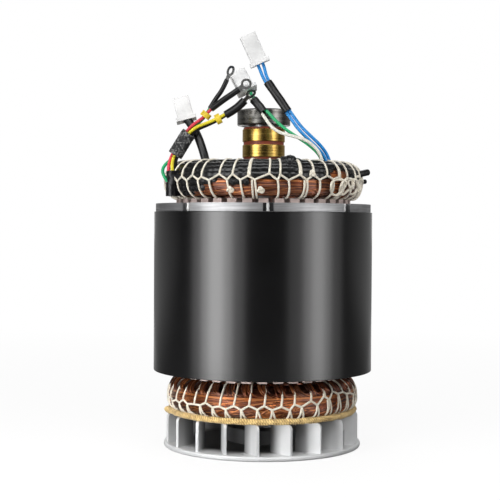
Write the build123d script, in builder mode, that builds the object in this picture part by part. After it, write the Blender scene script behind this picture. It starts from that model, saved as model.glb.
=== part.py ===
"""Stator and rotor of a small engine-driven generator, standing upright on its fan.

Millimetres. The origin is the centre of the fan's resting face, +Z runs up the shaft
to the slip rings and the bearing, and the front of the machine faces -Y.
"""

import os
from math import cos, degrees, radians, sin, sqrt, tan

from build123d import *

# Fan casting
fan_rim = 2.4
fan_disc_thickness = 4.2
fan_rim_round = 1.6
blade_count = 19
blade_height = 25.3
blade_length = 23.0
blade_thickness = 2.4
blade_overhang = 0.2
blade_lean = 33.0
blade_first_angle = -96.4
blade_corner_round = 4.0
fan_hub_radius = 31.0
fan_hub_height = 17.0
fan_hub_round = 1.2
balance_hole_count = 9
balance_hole_radius = 1.9
balance_hole_inset = 9.1
balance_hole_first_angle = -102.0

# Packing cord that lies on the blade tips, under the lower end winding
packing_radius = 3.0
packing_flat = 0.4
packing_inset = 4.0
packing_first_angle = -163.0
packing_arc = 353.0
packing_clearance = 0.8

# Stator core and its cover band
core_length = 146.0
bore_radius = 55.0
slot_depth = 19.0
slot_count = 36
slot_opening = 2.6
slot_lip = 1.2
slot_shoulder = 1.8
slot_inner_width = 5.2
slot_outer_width = 8.4
yoke_depth = 18.0
notch_count = 8
notch_width = 9.0
notch_depth = 4.0
notch_first_angle = -87.5
band_thickness = 1.2
band_length = 139.0
band_edge_round = 0.4
band_fit = 0.2

# Slot insulation and coil sides
slot_fit = 0.12
liner_thickness = 0.6
liner_end_fit = 0.3

# End windings
winding_gap = 4.2
winding_bore_clearance = 3.0
upper_winding_inset = 7.0
upper_winding_height = 33.0
lower_winding_inset = 10.6
lower_winding_height = 27.0
upper_crown_share = 0.5
lower_crown_share = 0.34
winding_inner_share = 0.3
winding_foot_share = 0.32
sleeve_bundle_radius = 4.2
sleeve_bundle_depth = 2.0
sleeve_bundle_step = 8.0
sleeve_bundle_turns = [5.0, 50.0, 95.0]
lacing_room = 0.9

# Rotor core and field coils
air_gap = 0.6
rotor_core_length = 142.0
pole_neck_width = 48.0
pole_shoe_thickness = 20.4
field_coil_fit = 0.4
field_coil_clearance = 3.4
field_coil_shaft_gap = 0.6
field_coil_round = 9.0

# Shaft
shaft_recess = 2.0
drive_end_radius = 18.0
core_seat_radius = 14.0
drive_collar_gap = 3.0
slip_seat_radius = 11.0
bearing_seat_radius = 10.0
bearing_shoulder_radius = 13.0
taper_mouth_radius = 12.7
taper_end_radius = 9.5
taper_depth = 43.0
through_bolt_radius = 5.25
shaft_end_proud = 1.0
shaft_chamfer = 0.8
seat_fit = 0.05

# Slip rings
slip_rise = 2.4
slip_ring_radius = 18.8
slip_ring_wall = 3.0
slip_ring_width = 11.0
slip_ring_round = 0.5
slip_groove_width = 2.8
slip_flange = 1.6
slip_hub_step = 0.9
bearing_shoulder = 1.6

# Bearing
bearing_radius = 23.5
bearing_width = 14.0
bearing_ring_wall = 3.8
bearing_chamfer = 0.9
shield_thickness = 0.8
shield_recess = 0.5
shield_gap = 0.3

# Leads, sleeves, markers, terminals and plugs
lead_diameter = 2.8
lead_run_share = 0.45
socket_fit = 0.3
socket_depth = 3.0
boot_radius = 5.6
boot_length = 12.0
boot_foot = 1.7
boot_inset = 1.15
boot_angle = -153.9
braid_bore = 4.1
braid_radius = 6.2
pair_sleeve_bore = 3.15
pair_sleeve_radius = 3.7
upright_sleeve_diameter = 7.2
marker_bore = 3.6
marker_radius = 4.4
marker_length = 4.6
marker_setback = 0.9
sleeve_setback = 4.0
small_terminal_sleeve = 4.0
medium_terminal_sleeve = 5.2
large_terminal_sleeve = 7.0
terminal_thickness = 1.0
terminal_ring_radius = 4.6
terminal_hole_radius = 2.65
terminal_reach = 8.0
terminal_tongue_width = 4.0
plug_width = 14.0
plug_depth = 8.5
plug_length = 21.0
top_plug_length = 27.0
plug_flange_width = 17.5
plug_flange_depth = 10.5
plug_flange_length = 3.0
plug_round = 0.8
plug_cavity_width = 5.0
plug_cavity_depth = 5.6
plug_cavity_length = 7.0
plug_latch_width = 5.0
plug_latch_length = 13.0
plug_latch_height = 1.6

# Common overrun of the cuts
overrun = 12.0

# Heights, worked out from the floor upwards
blade_top = fan_disc_thickness + blade_height
packing_centre = blade_top + packing_radius - packing_flat
lower_winding_bottom = packing_centre + packing_radius + packing_clearance
lower_winding_top = lower_winding_bottom + lower_winding_height
core_bottom = lower_winding_top + winding_gap
core_top = core_bottom + core_length
upper_winding_bottom = core_top + winding_gap
upper_winding_top = upper_winding_bottom + upper_winding_height
rotor_core_bottom = core_bottom + (core_length - rotor_core_length) / 2
rotor_core_top = rotor_core_bottom + rotor_core_length
slip_hub_bottom = upper_winding_top + slip_rise
lower_ring_bottom = slip_hub_bottom + slip_flange
upper_ring_bottom = lower_ring_bottom + slip_ring_width + slip_groove_width
slip_hub_top = upper_ring_bottom + slip_ring_width + slip_flange
bearing_bottom = slip_hub_top + bearing_shoulder
bearing_top = bearing_bottom + bearing_width
shaft_top = bearing_top + shaft_end_proud

boot_bottom = upper_winding_bottom + boot_foot

# Radii, worked out from the core's bore outwards
slot_lip_radius = bore_radius + slot_lip
slot_shoulder_radius = slot_lip_radius + slot_shoulder
slot_bottom_radius = slot_shoulder_radius + slot_depth
core_radius = slot_bottom_radius + yoke_depth
winding_inner_radius = bore_radius + winding_bore_clearance
upper_winding_radius = core_radius - upper_winding_inset
lower_winding_radius = core_radius - lower_winding_inset
boot_circle = upper_winding_radius - boot_inset
rotor_radius = bore_radius - air_gap
pole_window_width = 2 * (rotor_radius - pole_shoe_thickness)
blade_tip_radius = lower_winding_radius + blade_overhang
fan_radius = blade_tip_radius + fan_rim
packing_circle = blade_tip_radius - packing_inset
balance_hole_circle = blade_tip_radius - balance_hole_inset

# Routes of the leads: points in the machine's frame, from the winding to the far end
blue_left_route = [
    (53.8, -49.3, 246.0), (51.8, -50.4, 253.0), (45.6, -50.4, 260.4), (37.2, -48.4, 268.2),
    (28.8, -45.8, 276.8), (21.6, -42.6, 287.5), (-0.4, -37.8, 319.4), (-3.9, -36.2, 328.7),
    (-6.5, -36.2, 334.4),
]
blue_right_route = [
    (57.0, -46.2, 246.0), (54.9, -47.6, 253.6), (48.6, -49.0, 262.3), (40.0, -47.4, 270.4),
    (31.4, -45.2, 278.8), (24.0, -42.6, 289.3), (2.0, -37.8, 321.2), (0.1, -36.2, 330.5),
    (-2.5, -36.2, 336.2),
]
green_right_route = [
    (50.6, -53.4, 246.0), (48.2, -54.4, 252.6), (42.0, -54.0, 259.6), (33.2, -52.2, 266.2),
    (23.4, -49.8, 272.4), (13.6, -46.8, 279.8), (4.6, -43.6, 289.4), (-10.5, -36.4, 306.0),
    (-14.2, -33.4, 312.6),
]
white_right_route = [
    (46.6, -56.6, 246.0), (43.8, -57.4, 252.4), (37.0, -56.6, 258.6), (28.0, -54.2, 264.2),
    (18.4, -51.4, 270.2), (9.2, -47.6, 278.2), (2.4, -43.6, 287.4), (-12.7, -36.4, 304.0),
    (-16.4, -33.4, 310.6),
]
green_left_route = [
    (-79.8, -36.4, 228.5), (-82.6, -36.6, 235.6), (-83.4, -35.2, 243.6), (-77.5, -35.0, 251.1),
    (-62.1, -36.8, 276.4), (-51.6, -37.8, 285.6), (-47.7, -38.0, 291.2), (-45.4, -38.0, 296.0),
]
red_route = [
    (-79.8, -40.0, 228.5), (-80.8, -40.8, 235.5), (-81.6, -39.4, 243.5), (-79.5, -37.4, 252.5),
    (-64.1, -39.2, 277.8), (-51.4, -41.2, 286.0), (-47.5, -41.8, 290.8), (-43.4, -42.8, 294.4),
]
yellow_route = [
    (-76.2, -40.0, 228.5), (-76.8, -41.2, 235.5), (-78.2, -41.4, 243.0), (-77.7, -39.8, 250.9),
    (-62.3, -41.6, 276.2), (-46.2, -43.0, 282.2), (-36.2, -42.9, 286.8), (-31.2, -43.4, 290.2),
]
black_route = [
    (-76.2, -36.4, 228.5), (-75.4, -36.6, 234.6), (-75.0, -37.3, 241.2), (-75.7, -37.4, 249.5),
    (-60.3, -39.2, 274.8), (-45.6, -39.4, 280.8), (-35.8, -39.6, 286.0), (-30.6, -40.2, 289.4),
]
upright_route = [
    (-54.0, -32.0, 246.0), (-55.4, -31.2, 254.0), (-58.4, -29.6, 263.0), (-62.4, -27.4, 272.0),
    (-65.6, -25.4, 280.4), (-67.6, -24.0, 287.4),
]
terminal_routes = {
    "small": [
        (-46.2, -38.0, 294.2), (-41.5, -39.2, 302.0), (-35.2, -40.6, 310.0), (-31.6, -41.5, 318.5),
    ],
    "medium": [
        (-44.9, -42.4, 293.1), (-34.0, -43.6, 301.4), (-27.4, -43.6, 305.6), (-21.5, -43.2, 310.0),
    ],
    "large": [
        (-32.6, -41.7, 288.4), (-27.2, -42.7, 291.5), (-21.4, -44.2, 295.4), (-16.5, -45.8, 300.4),
    ],
}

os.makedirs("parts", exist_ok=True)


def save(builder, name):
    """Labels a finished piece and writes it as the node of that name."""
    builder.part.label = name
    export_step(builder.part, f"parts/{name}.step")


def upright_plane(angle=0.0):
    """A plane through the shaft axis: local x points outwards at that angle, local y up."""
    turn = radians(angle)
    return Plane(origin=(0, 0, 0), x_dir=(cos(turn), sin(turn), 0), z_dir=(sin(turn), -cos(turn), 0))


def direction(route, start=True):
    """Unit vector along a route's first run, or backwards along its last one."""
    first, second = (route[0], route[1]) if start else (route[-1], route[-2])
    return (Vector(*second) - Vector(*first)).normalized()


def cut_socket(point, towards, diameter):
    """In the open part, a flat-bottomed hole that a lead's end stands in."""
    floor_up = (Align.CENTER, Align.CENTER, Align.MIN)
    with Locations(Plane(origin=point, z_dir=towards)):
        Cylinder(diameter / 2 + socket_fit, overrun, align=floor_up, mode=Mode.SUBTRACT)


def bend_radii(route):
    """The largest arcs that a route's runs leave room for, one for each corner."""
    points = [Vector(*point) for point in route]
    radii = []
    for before, corner, after in zip(points, points[1:], points[2:]):
        run_in, run_out = corner - before, after - corner
        half_turn = radians(run_in.get_angle(run_out)) / 2
        radii.append(lead_run_share * min(run_in.length, run_out.length) / tan(half_turn))
    return radii


def swept_lead(route, diameter):
    """A round lead along straight runs and tangent arcs."""
    with BuildPart() as lead:
        with BuildLine() as path:
            FilletPolyline(*route, radius=bend_radii(route))
        with BuildSketch(Plane(origin=route[0], z_dir=direction(route))):
            Circle(diameter / 2)
        sweep()
    length = sum(edge.length for edge in path.edges())
    print(f"length {length:.1f}, bend radii {[round(radius, 1) for radius in bend_radii(route)]}")
    return lead


# Fan: one casting with a disc, a hub and leaning blades
half_blade = blade_length / 2
lean = radians(blade_lean)
blade_circle = sqrt(blade_tip_radius**2 - (half_blade * sin(lean)) ** 2) - half_blade * cos(lean)
with BuildPart() as fan_wheel:
    with BuildSketch():
        Circle(fan_radius)
    extrude(amount=fan_disc_thickness)
    fillet(fan_wheel.edges(), radius=fan_rim_round)
    with BuildSketch(Plane.XY.offset(fan_disc_thickness)):
        Circle(fan_hub_radius)
    extrude(amount=fan_hub_height - fan_disc_thickness)
    fillet(fan_wheel.faces().sort_by(Axis.Z)[-1].edges(), radius=fan_hub_round)
    with BuildSketch(Plane.XY.offset(fan_disc_thickness / 2)):
        with PolarLocations(blade_circle, blade_count, start_angle=blade_first_angle):
            Rectangle(blade_length, blade_thickness, rotation=blade_lean)
    extrude(amount=blade_top - fan_disc_thickness / 2)
    tip_edges = (
        fan_wheel.edges()
        .filter_by_position(Axis.Z, blade_top, blade_top)
        .filter_by(lambda edge: abs(edge.length - blade_thickness) < blade_thickness / 2)
        .filter_by(lambda edge: Vector(edge.center().X, edge.center().Y, 0).length > blade_circle)
    )
    fillet(tip_edges, radius=blade_corner_round)
    with BuildSketch():
        Circle(drive_end_radius + seat_fit)
        with PolarLocations(balance_hole_circle, balance_hole_count, start_angle=balance_hole_first_angle):
            Circle(balance_hole_radius)
    extrude(amount=fan_hub_height, mode=Mode.SUBTRACT)
save(fan_wheel, "fan_wheel")

# Packing cord: an open ring with rounded ends, flattened where it lies on the blades
with BuildPart() as packing_cord:
    with BuildSketch(upright_plane(packing_first_angle)):
        with Locations((packing_circle, packing_centre)):
            Circle(packing_radius)
    revolve(axis=Axis.Z, revolution_arc=packing_arc)
    for end_angle in (packing_first_angle, packing_first_angle + packing_arc):
        turn = radians(end_angle)
        with Locations((packing_circle * cos(turn), packing_circle * sin(turn), packing_centre)):
            Sphere(packing_radius)
    split(bisect_by=Plane.XY.offset(blade_top), keep=Keep.TOP)
save(packing_cord, "packing_cord")


# Stator
def slot_half_width(radius):
    """Half the width of a slot at a radius, between its shoulder and its bottom."""
    share = (radius - slot_shoulder_radius) / (slot_bottom_radius - slot_shoulder_radius)
    return (slot_inner_width + share * (slot_outer_width - slot_inner_width)) / 2


def mirrored_outline(points):
    """A closed outline from the half above the local x axis and its mirror image."""
    return points + [(x, -y) for x, y in reversed(points)]


slot_outline = mirrored_outline([
    (bore_radius - overrun, slot_opening / 2),
    (slot_lip_radius, slot_opening / 2),
    (slot_shoulder_radius, slot_inner_width / 2),
    (slot_bottom_radius, slot_outer_width / 2),
])
with BuildPart() as stator_core:
    with BuildSketch(Plane.XY.offset(core_bottom)):
        Circle(core_radius)
        Circle(bore_radius, mode=Mode.SUBTRACT)
        with PolarLocations(0, slot_count):
            Polygon(*slot_outline, align=None, mode=Mode.SUBTRACT)
        with PolarLocations(core_radius, notch_count, start_angle=notch_first_angle):
            Rectangle(2 * notch_depth, notch_width, mode=Mode.SUBTRACT)
    extrude(amount=core_length)
save(stator_core, "stator_core")

with BuildPart() as cover_band:
    with BuildSketch(Plane.XY.offset(core_bottom)):
        Circle(core_radius + band_fit + band_thickness)
        Circle(core_radius + band_fit, mode=Mode.SUBTRACT)
    extrude(amount=band_length)
    fillet(cover_band.edges().filter_by(GeomType.CIRCLE).group_by(SortBy.RADIUS)[-1], radius=band_edge_round)
save(cover_band, "cover_band")

liner_inner_radius = slot_shoulder_radius + slot_fit
liner_outer_radius = slot_bottom_radius - slot_fit
coil_outer_radius = liner_outer_radius - liner_thickness - slot_fit
liner_cover = slot_fit + liner_thickness
liner_outline = [
    (liner_inner_radius, slot_half_width(liner_inner_radius) - slot_fit),
    (liner_outer_radius, slot_half_width(liner_outer_radius) - slot_fit),
    (liner_outer_radius, -slot_half_width(liner_outer_radius) + slot_fit),
    (liner_inner_radius, -slot_half_width(liner_inner_radius) + slot_fit),
    (liner_inner_radius, -slot_half_width(liner_inner_radius) + liner_cover),
    (liner_outer_radius - liner_thickness, -slot_half_width(liner_outer_radius) + liner_cover),
    (liner_outer_radius - liner_thickness, slot_half_width(liner_outer_radius) - liner_cover),
    (liner_inner_radius, slot_half_width(liner_inner_radius) - liner_cover),
]
with BuildPart() as slot_liners:
    with BuildSketch(Plane.XY.offset(lower_winding_top + liner_end_fit)):
        with PolarLocations(0, slot_count):
            Polygon(*liner_outline, align=None)
    extrude(amount=core_length + 2 * (winding_gap - liner_end_fit))
save(slot_liners, "slot_liners")

coil_outline = mirrored_outline([
    (liner_inner_radius, slot_half_width(liner_inner_radius) - liner_cover - slot_fit),
    (coil_outer_radius, slot_half_width(coil_outer_radius) - liner_cover - slot_fit),
])
with BuildPart() as coil_sides:
    with BuildSketch(Plane.XY.offset(lower_winding_top)):
        with PolarLocations(0, slot_count):
            Polygon(*coil_outline, align=None)
    extrude(amount=core_length + 2 * winding_gap)
save(coil_sides, "coil_sides")

wedge_outline = mirrored_outline([
    (slot_lip_radius + slot_fit, slot_opening / 2),
    (slot_shoulder_radius, slot_inner_width / 2 - slot_fit),
])
with BuildPart() as slot_wedges:
    with BuildSketch(Plane.XY.offset(lower_winding_top + liner_end_fit)):
        with PolarLocations(0, slot_count):
            Polygon(*wedge_outline, align=None)
    extrude(amount=core_length + 2 * (winding_gap - liner_end_fit))
save(slot_wedges, "slot_wedges")


def end_winding_ring(bottom, outer_radius, height, crown_share, crown_up, bundles):
    """Bundled end turns inside the room for their lacing, with rings of sleeving let into them."""
    depth = lacing_room + (sleeve_bundle_depth if bundles else 0)
    inner, outer = winding_inner_radius + lacing_room, outer_radius - depth
    crown, foot = (bottom + height - depth, bottom) if crown_up else (bottom + depth, bottom + height)
    bundle = min(outer_radius - winding_inner_radius, height)
    corner_rounds = [
        ((outer, crown), crown_share * bundle - depth),
        ((inner, crown), winding_inner_share * bundle - depth),
        ((outer, foot), winding_foot_share * bundle - depth),
    ]
    with BuildPart() as ring:
        with BuildSketch(upright_plane()) as section:
            with Locations((inner, min(crown, foot))):
                Rectangle(outer - inner, abs(crown - foot), align=Align.MIN)
            for corner, corner_round in corner_rounds:
                fillet(section.vertices().sort_by_distance(corner)[:1], radius=corner_round)
            for centre in bundles:
                with Locations(centre):
                    Circle(sleeve_bundle_radius)
        revolve(axis=Axis.Z)
    return ring


def crown_bundles(bottom, outer_radius, height, crown_share):
    """Middles of the sleeved rings: over the rounded crown, and one more on its flat top."""
    crown_round = crown_share * min(outer_radius - winding_inner_radius, height)
    reach = crown_round - lacing_room - sleeve_bundle_radius
    centre_radius, centre_level = outer_radius - crown_round, bottom + height - crown_round
    middles = []
    for turn in sleeve_bundle_turns:
        out, up = reach * cos(radians(turn)), reach * sin(radians(turn))
        middles.append((centre_radius + out, centre_level + up))
    return middles + [(middles[-1][0] - sleeve_bundle_step, centre_level + reach)]


lead_routes = {
    "lead_blue_left": blue_left_route,
    "lead_blue_right": blue_right_route,
    "lead_green_right": green_right_route,
    "lead_white_right": white_right_route,
    "lead_green_left": green_left_route,
    "lead_red": red_route,
    "lead_yellow": yellow_route,
    "lead_black": black_route,
}
right_leads = ["lead_blue_left", "lead_blue_right", "lead_green_right", "lead_white_right"]
left_leads = ["lead_green_left", "lead_red", "lead_yellow", "lead_black"]

lower_size = (lower_winding_bottom, lower_winding_radius, lower_winding_height, lower_crown_share, False)
save(end_winding_ring(*lower_size, []), "lower_end_winding")

upper_size = (upper_winding_bottom, upper_winding_radius, upper_winding_height, upper_crown_share, True)
upper_bundles = crown_bundles(*upper_size[:4])
upper_ring = end_winding_ring(*upper_size, upper_bundles)
with BuildPart() as upper_end_winding:
    add(upper_ring.part)
    for name in right_leads:
        cut_socket(lead_routes[name][0], direction(lead_routes[name]), lead_diameter)
    cut_socket(upright_route[0], direction(upright_route), upright_sleeve_diameter)
    with BuildSketch(Plane.XY.offset(boot_bottom)):
        with PolarLocations(boot_circle, 1, start_angle=boot_angle):
            Circle(boot_radius + socket_fit)
    extrude(amount=upper_winding_top - boot_bottom + overrun, mode=Mode.SUBTRACT)
save(upper_end_winding, "upper_end_winding")

# Rotor
with BuildPart() as rotor_core:
    with BuildSketch(Plane.XY.offset(rotor_core_bottom)):
        Circle(rotor_radius)
        for side in (-1, 1):
            with Locations((0, side * (pole_neck_width / 2 + rotor_radius / 2))):
                Rectangle(pole_window_width, rotor_radius, mode=Mode.SUBTRACT)
        Circle(core_seat_radius + seat_fit, mode=Mode.SUBTRACT)
    extrude(amount=rotor_core_length)
save(rotor_core, "rotor_core")

coil_bore_width = pole_neck_width + 2 * field_coil_fit
coil_bore_length = rotor_core_length + 2 * field_coil_fit
coil_outer_x = pole_window_width / 2 - field_coil_fit
coil_width = coil_outer_x - drive_end_radius - field_coil_shaft_gap
coil_reach = sqrt((rotor_radius - field_coil_clearance) ** 2 - coil_outer_x**2)
coil_depth = coil_reach - coil_bore_width / 2
for name, side in (("field_coil_left", -1), ("field_coil_right", 1)):
    coil_face = Plane(
        origin=(side * coil_outer_x, 0, rotor_core_bottom + rotor_core_length / 2),
        x_dir=(0, 1, 0),
        z_dir=(-side, 0, 0),
    )
    with BuildPart() as field_coil:
        with BuildSketch(coil_face):
            RectangleRounded(2 * coil_reach, coil_bore_length + 2 * coil_depth, field_coil_round)
            Rectangle(coil_bore_width, coil_bore_length, mode=Mode.SUBTRACT)
        extrude(amount=coil_width)
    save(field_coil, name)

shaft_profile = [
    (0, shaft_recess),
    (drive_end_radius, shaft_recess),
    (drive_end_radius, rotor_core_bottom - drive_collar_gap),
    (core_seat_radius, rotor_core_bottom - drive_collar_gap),
    (core_seat_radius, slip_hub_bottom),
    (slip_seat_radius, slip_hub_bottom),
    (slip_seat_radius, slip_hub_top),
    (bearing_shoulder_radius, slip_hub_top),
    (bearing_shoulder_radius, bearing_bottom),
    (bearing_seat_radius, bearing_bottom),
    (bearing_seat_radius, shaft_top),
    (0, shaft_top),
]
taper_profile = [
    (0, shaft_recess),
    (taper_mouth_radius, shaft_recess),
    (taper_end_radius, shaft_recess + taper_depth),
    (0, shaft_recess + taper_depth),
]
with BuildPart() as shaft:
    with BuildSketch(upright_plane()):
        Polygon(*shaft_profile, align=None)
    revolve(axis=Axis.Z)
    chamfer(shaft.faces().sort_by(Axis.Z)[-1].edges(), length=shaft_chamfer)
    with BuildSketch(upright_plane()):
        Polygon(*taper_profile, align=None)
    revolve(axis=Axis.Z, mode=Mode.SUBTRACT)
    with BuildSketch(Plane.XY.offset(shaft_recess)):
        Circle(through_bolt_radius)
    extrude(amount=shaft_top - shaft_recess, mode=Mode.SUBTRACT)
save(shaft, "shaft")

# Slip rings on their moulded hub
ring_seat_radius = slip_ring_radius - slip_ring_wall
with BuildPart() as slip_ring_hub:
    with BuildSketch(Plane.XY.offset(slip_hub_bottom)):
        Circle(slip_ring_radius - slip_hub_step)
    extrude(amount=slip_hub_top - slip_hub_bottom)
    for ring_bottom in (lower_ring_bottom, upper_ring_bottom):
        with BuildSketch(Plane.XY.offset(ring_bottom)):
            Circle(slip_ring_radius)
            Circle(ring_seat_radius - seat_fit, mode=Mode.SUBTRACT)
        extrude(amount=slip_ring_width, mode=Mode.SUBTRACT)
    with BuildSketch(Plane.XY.offset(slip_hub_bottom)):
        Circle(slip_seat_radius + seat_fit)
    extrude(amount=slip_hub_top - slip_hub_bottom, mode=Mode.SUBTRACT)
save(slip_ring_hub, "slip_ring_hub")

for name, ring_bottom in (("slip_ring_lower", lower_ring_bottom), ("slip_ring_upper", upper_ring_bottom)):
    with BuildPart() as slip_ring:
        with BuildSketch(Plane.XY.offset(ring_bottom)):
            Circle(slip_ring_radius)
            Circle(ring_seat_radius, mode=Mode.SUBTRACT)
        extrude(amount=slip_ring_width)
        rims = slip_ring.edges().filter_by(GeomType.CIRCLE).group_by(SortBy.RADIUS)[-1]
        fillet(rims, radius=slip_ring_round)
    save(slip_ring, name)

# Ball bearing: two rings and the shields that close the space between them
inner_ring_radius = bearing_seat_radius + seat_fit + bearing_ring_wall
outer_ring_bore = bearing_radius - bearing_ring_wall
with BuildPart() as bearing_inner_ring:
    with BuildSketch(Plane.XY.offset(bearing_bottom)):
        Circle(inner_ring_radius)
        Circle(bearing_seat_radius + seat_fit, mode=Mode.SUBTRACT)
    extrude(amount=bearing_width)
save(bearing_inner_ring, "bearing_inner_ring")

with BuildPart() as bearing_outer_ring:
    with BuildSketch(Plane.XY.offset(bearing_bottom)):
        Circle(bearing_radius)
        Circle(outer_ring_bore, mode=Mode.SUBTRACT)
    extrude(amount=bearing_width)
    rims = bearing_outer_ring.edges().filter_by(GeomType.CIRCLE).group_by(SortBy.RADIUS)[-1]
    chamfer(rims, length=bearing_chamfer)
save(bearing_outer_ring, "bearing_outer_ring")

with BuildPart() as bearing_shields:
    for shield_bottom in (bearing_bottom + shield_recess, bearing_top - shield_recess - shield_thickness):
        with BuildSketch(Plane.XY.offset(shield_bottom)):
            Circle(outer_ring_bore - seat_fit)
            Circle(inner_ring_radius + shield_gap, mode=Mode.SUBTRACT)
        extrude(amount=shield_thickness)
save(bearing_shields, "bearing_shields")

# Leads
for name, route in lead_routes.items():
    print(name, end=": ")
    save(swept_lead(route, lead_diameter), name)
print("upright_sleeve", end=": ")
save(swept_lead(upright_route, upright_sleeve_diameter), "upright_sleeve")

with BuildPart() as lead_boot:
    with BuildSketch(Plane.XY.offset(boot_bottom)):
        with PolarLocations(boot_circle, 1, start_angle=boot_angle):
            Circle(boot_radius)
    extrude(amount=boot_length)
    for name in left_leads:
        cut_socket(lead_routes[name][0], direction(lead_routes[name]), lead_diameter)
save(lead_boot, "lead_boot")


def middle(*points):
    """The point midway between several points."""
    return sum((Vector(*point) for point in points), Vector(0, 0, 0)) / len(points)


def straight_sleeve(start, end, radius, bore):
    """A hollow sleeve between two points."""
    axis = end - start
    with BuildPart() as sleeve:
        with BuildSketch(Plane(origin=start, z_dir=axis)):
            Circle(radius)
            Circle(bore, mode=Mode.SUBTRACT)
        extrude(amount=axis.length)
    return sleeve


def run_middle(names, corner, setback):
    """The stretch of a bundle's straight run that starts at a corner, less a setback at each end."""
    start = middle(*[lead_routes[name][corner] for name in names])
    end = middle(*[lead_routes[name][corner + 1] for name in names])
    along = (end - start).normalized()
    return start + along * setback, end - along * setback


braid_corner = 3
marker_corner = 5
start, end = run_middle(left_leads, braid_corner, sleeve_setback)
save(straight_sleeve(start, end, braid_radius, braid_bore), "braided_sleeve")
pair_sleeves = {"blue_sleeve": (right_leads[:2], 5), "green_white_sleeve": (right_leads[2:], 6)}
for name, (pair, corner) in pair_sleeves.items():
    start, end = run_middle(pair, corner, sleeve_setback)
    save(straight_sleeve(start, end, pair_sleeve_radius, pair_sleeve_bore), name)
for name, pair in (("marker_left", left_leads[:2]), ("marker_right", left_leads[2:])):
    start, end = run_middle(pair, marker_corner, marker_setback)
    marker_start = end - (end - start).normalized() * marker_length
    save(straight_sleeve(marker_start, end, marker_radius, marker_bore), name)

# Shrink sleeves and ring terminals at the ends of the left leads
terminals = {
    "small": (small_terminal_sleeve, ["lead_green_left"], (0.78, -0.55, -0.30)),
    "medium": (medium_terminal_sleeve, ["lead_red"], (0.10, -1.0, 0.12)),
    "large": (large_terminal_sleeve, ["lead_yellow", "lead_black"], (0.62, -0.62, -0.48)),
}
for size, (sleeve_diameter, wires, ring_normal) in terminals.items():
    route = terminal_routes[size]
    print(f"terminal_sleeve_{size}", end=": ")
    swept_sleeve = swept_lead(route, sleeve_diameter)
    with BuildPart() as terminal_sleeve:
        add(swept_sleeve.part)
        for name in wires:
            cut_socket(lead_routes[name][-1], direction(lead_routes[name], start=False), lead_diameter)
    save(terminal_sleeve, f"terminal_sleeve_{size}")
    along = direction(route, start=False) * -1
    across = Vector(*ring_normal)
    flat = Plane(origin=route[-1], x_dir=along, z_dir=across - along * along.dot(across))
    with BuildPart() as ring_terminal:
        with BuildSketch(flat.offset(-terminal_thickness / 2)):
            with Locations((terminal_reach / 2, 0)):
                Rectangle(terminal_reach, terminal_tongue_width)
            with Locations((terminal_reach, 0)):
                Circle(terminal_ring_radius)
                Circle(terminal_hole_radius, mode=Mode.SUBTRACT)
        extrude(amount=terminal_thickness)
    save(ring_terminal, f"ring_terminal_{size}")


def plug_housing(entries, axis, wide_dir, entry_diameter, length):
    """A moulded plug: a flanged back that the leads enter, two pin cavities and a latch."""
    back = middle(*entries) - axis * socket_depth
    across = wide_dir - axis * axis.dot(wide_dir)
    base = Plane(origin=back, x_dir=across, z_dir=axis)
    with BuildPart() as plug:
        with BuildSketch(base):
            RectangleRounded(plug_flange_width, plug_flange_depth, plug_round)
        extrude(amount=plug_flange_length)
        with BuildSketch(base.offset(plug_flange_length)):
            RectangleRounded(plug_width, plug_depth, plug_round)
        extrude(amount=length - plug_flange_length)
        with BuildSketch(base.offset(length)):
            with GridLocations(plug_width / 2, 0, 2, 1):
                Rectangle(plug_cavity_width, plug_cavity_depth)
        extrude(amount=-plug_cavity_length, mode=Mode.SUBTRACT)
        with BuildSketch(base.offset(plug_flange_length)):
            with Locations((0, (plug_depth + plug_latch_height) / 2)):
                Rectangle(plug_latch_width, plug_latch_height)
        extrude(amount=plug_latch_length)
        for entry in entries:
            cut_socket(entry, axis * -1, entry_diameter)
    return plug


plugs = {
    "plug_top": ([blue_left_route, blue_right_route], lead_diameter, top_plug_length),
    "plug_middle": ([green_right_route, white_right_route], lead_diameter, plug_length),
    "plug_left": ([upright_route], upright_sleeve_diameter, plug_length),
}
for name, (routes, entry_diameter, length) in plugs.items():
    plug_axis = direction(routes[0], start=False) * -1
    entries = [route[-1] for route in routes]
    save(plug_housing(entries, plug_axis, Vector(1, 0, 0), entry_diameter, length), name)
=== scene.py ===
"""Finishes, wound bundles, lacing, leads and studio for a generator's stator and rotor.

Metres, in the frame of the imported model: the origin is the centre of the fan's resting face,
+Z runs up the shaft and the front of the machine faces -Y. Angles round the shaft start at
the front and grow to the right.
"""

import logging
import math
from dataclasses import astuple, dataclass, field
from enum import Enum
from typing import ClassVar

import bpy
import numpy as np
from mathutils import Matrix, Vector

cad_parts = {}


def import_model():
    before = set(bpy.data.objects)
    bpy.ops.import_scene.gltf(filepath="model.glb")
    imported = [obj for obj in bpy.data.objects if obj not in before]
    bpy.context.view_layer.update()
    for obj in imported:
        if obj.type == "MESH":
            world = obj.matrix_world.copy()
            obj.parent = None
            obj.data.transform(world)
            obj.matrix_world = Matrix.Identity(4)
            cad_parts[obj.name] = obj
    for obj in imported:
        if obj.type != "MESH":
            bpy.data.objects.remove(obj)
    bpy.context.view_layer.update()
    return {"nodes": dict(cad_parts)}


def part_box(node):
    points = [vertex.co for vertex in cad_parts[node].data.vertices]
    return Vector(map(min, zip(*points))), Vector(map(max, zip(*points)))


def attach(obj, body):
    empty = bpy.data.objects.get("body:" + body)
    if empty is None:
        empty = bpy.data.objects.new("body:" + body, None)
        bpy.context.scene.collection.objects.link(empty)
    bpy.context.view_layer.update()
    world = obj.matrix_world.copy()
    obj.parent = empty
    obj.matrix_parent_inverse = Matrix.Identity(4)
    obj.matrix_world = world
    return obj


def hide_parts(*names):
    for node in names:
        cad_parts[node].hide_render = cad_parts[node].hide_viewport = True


log = logging.getLogger("generator")

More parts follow.
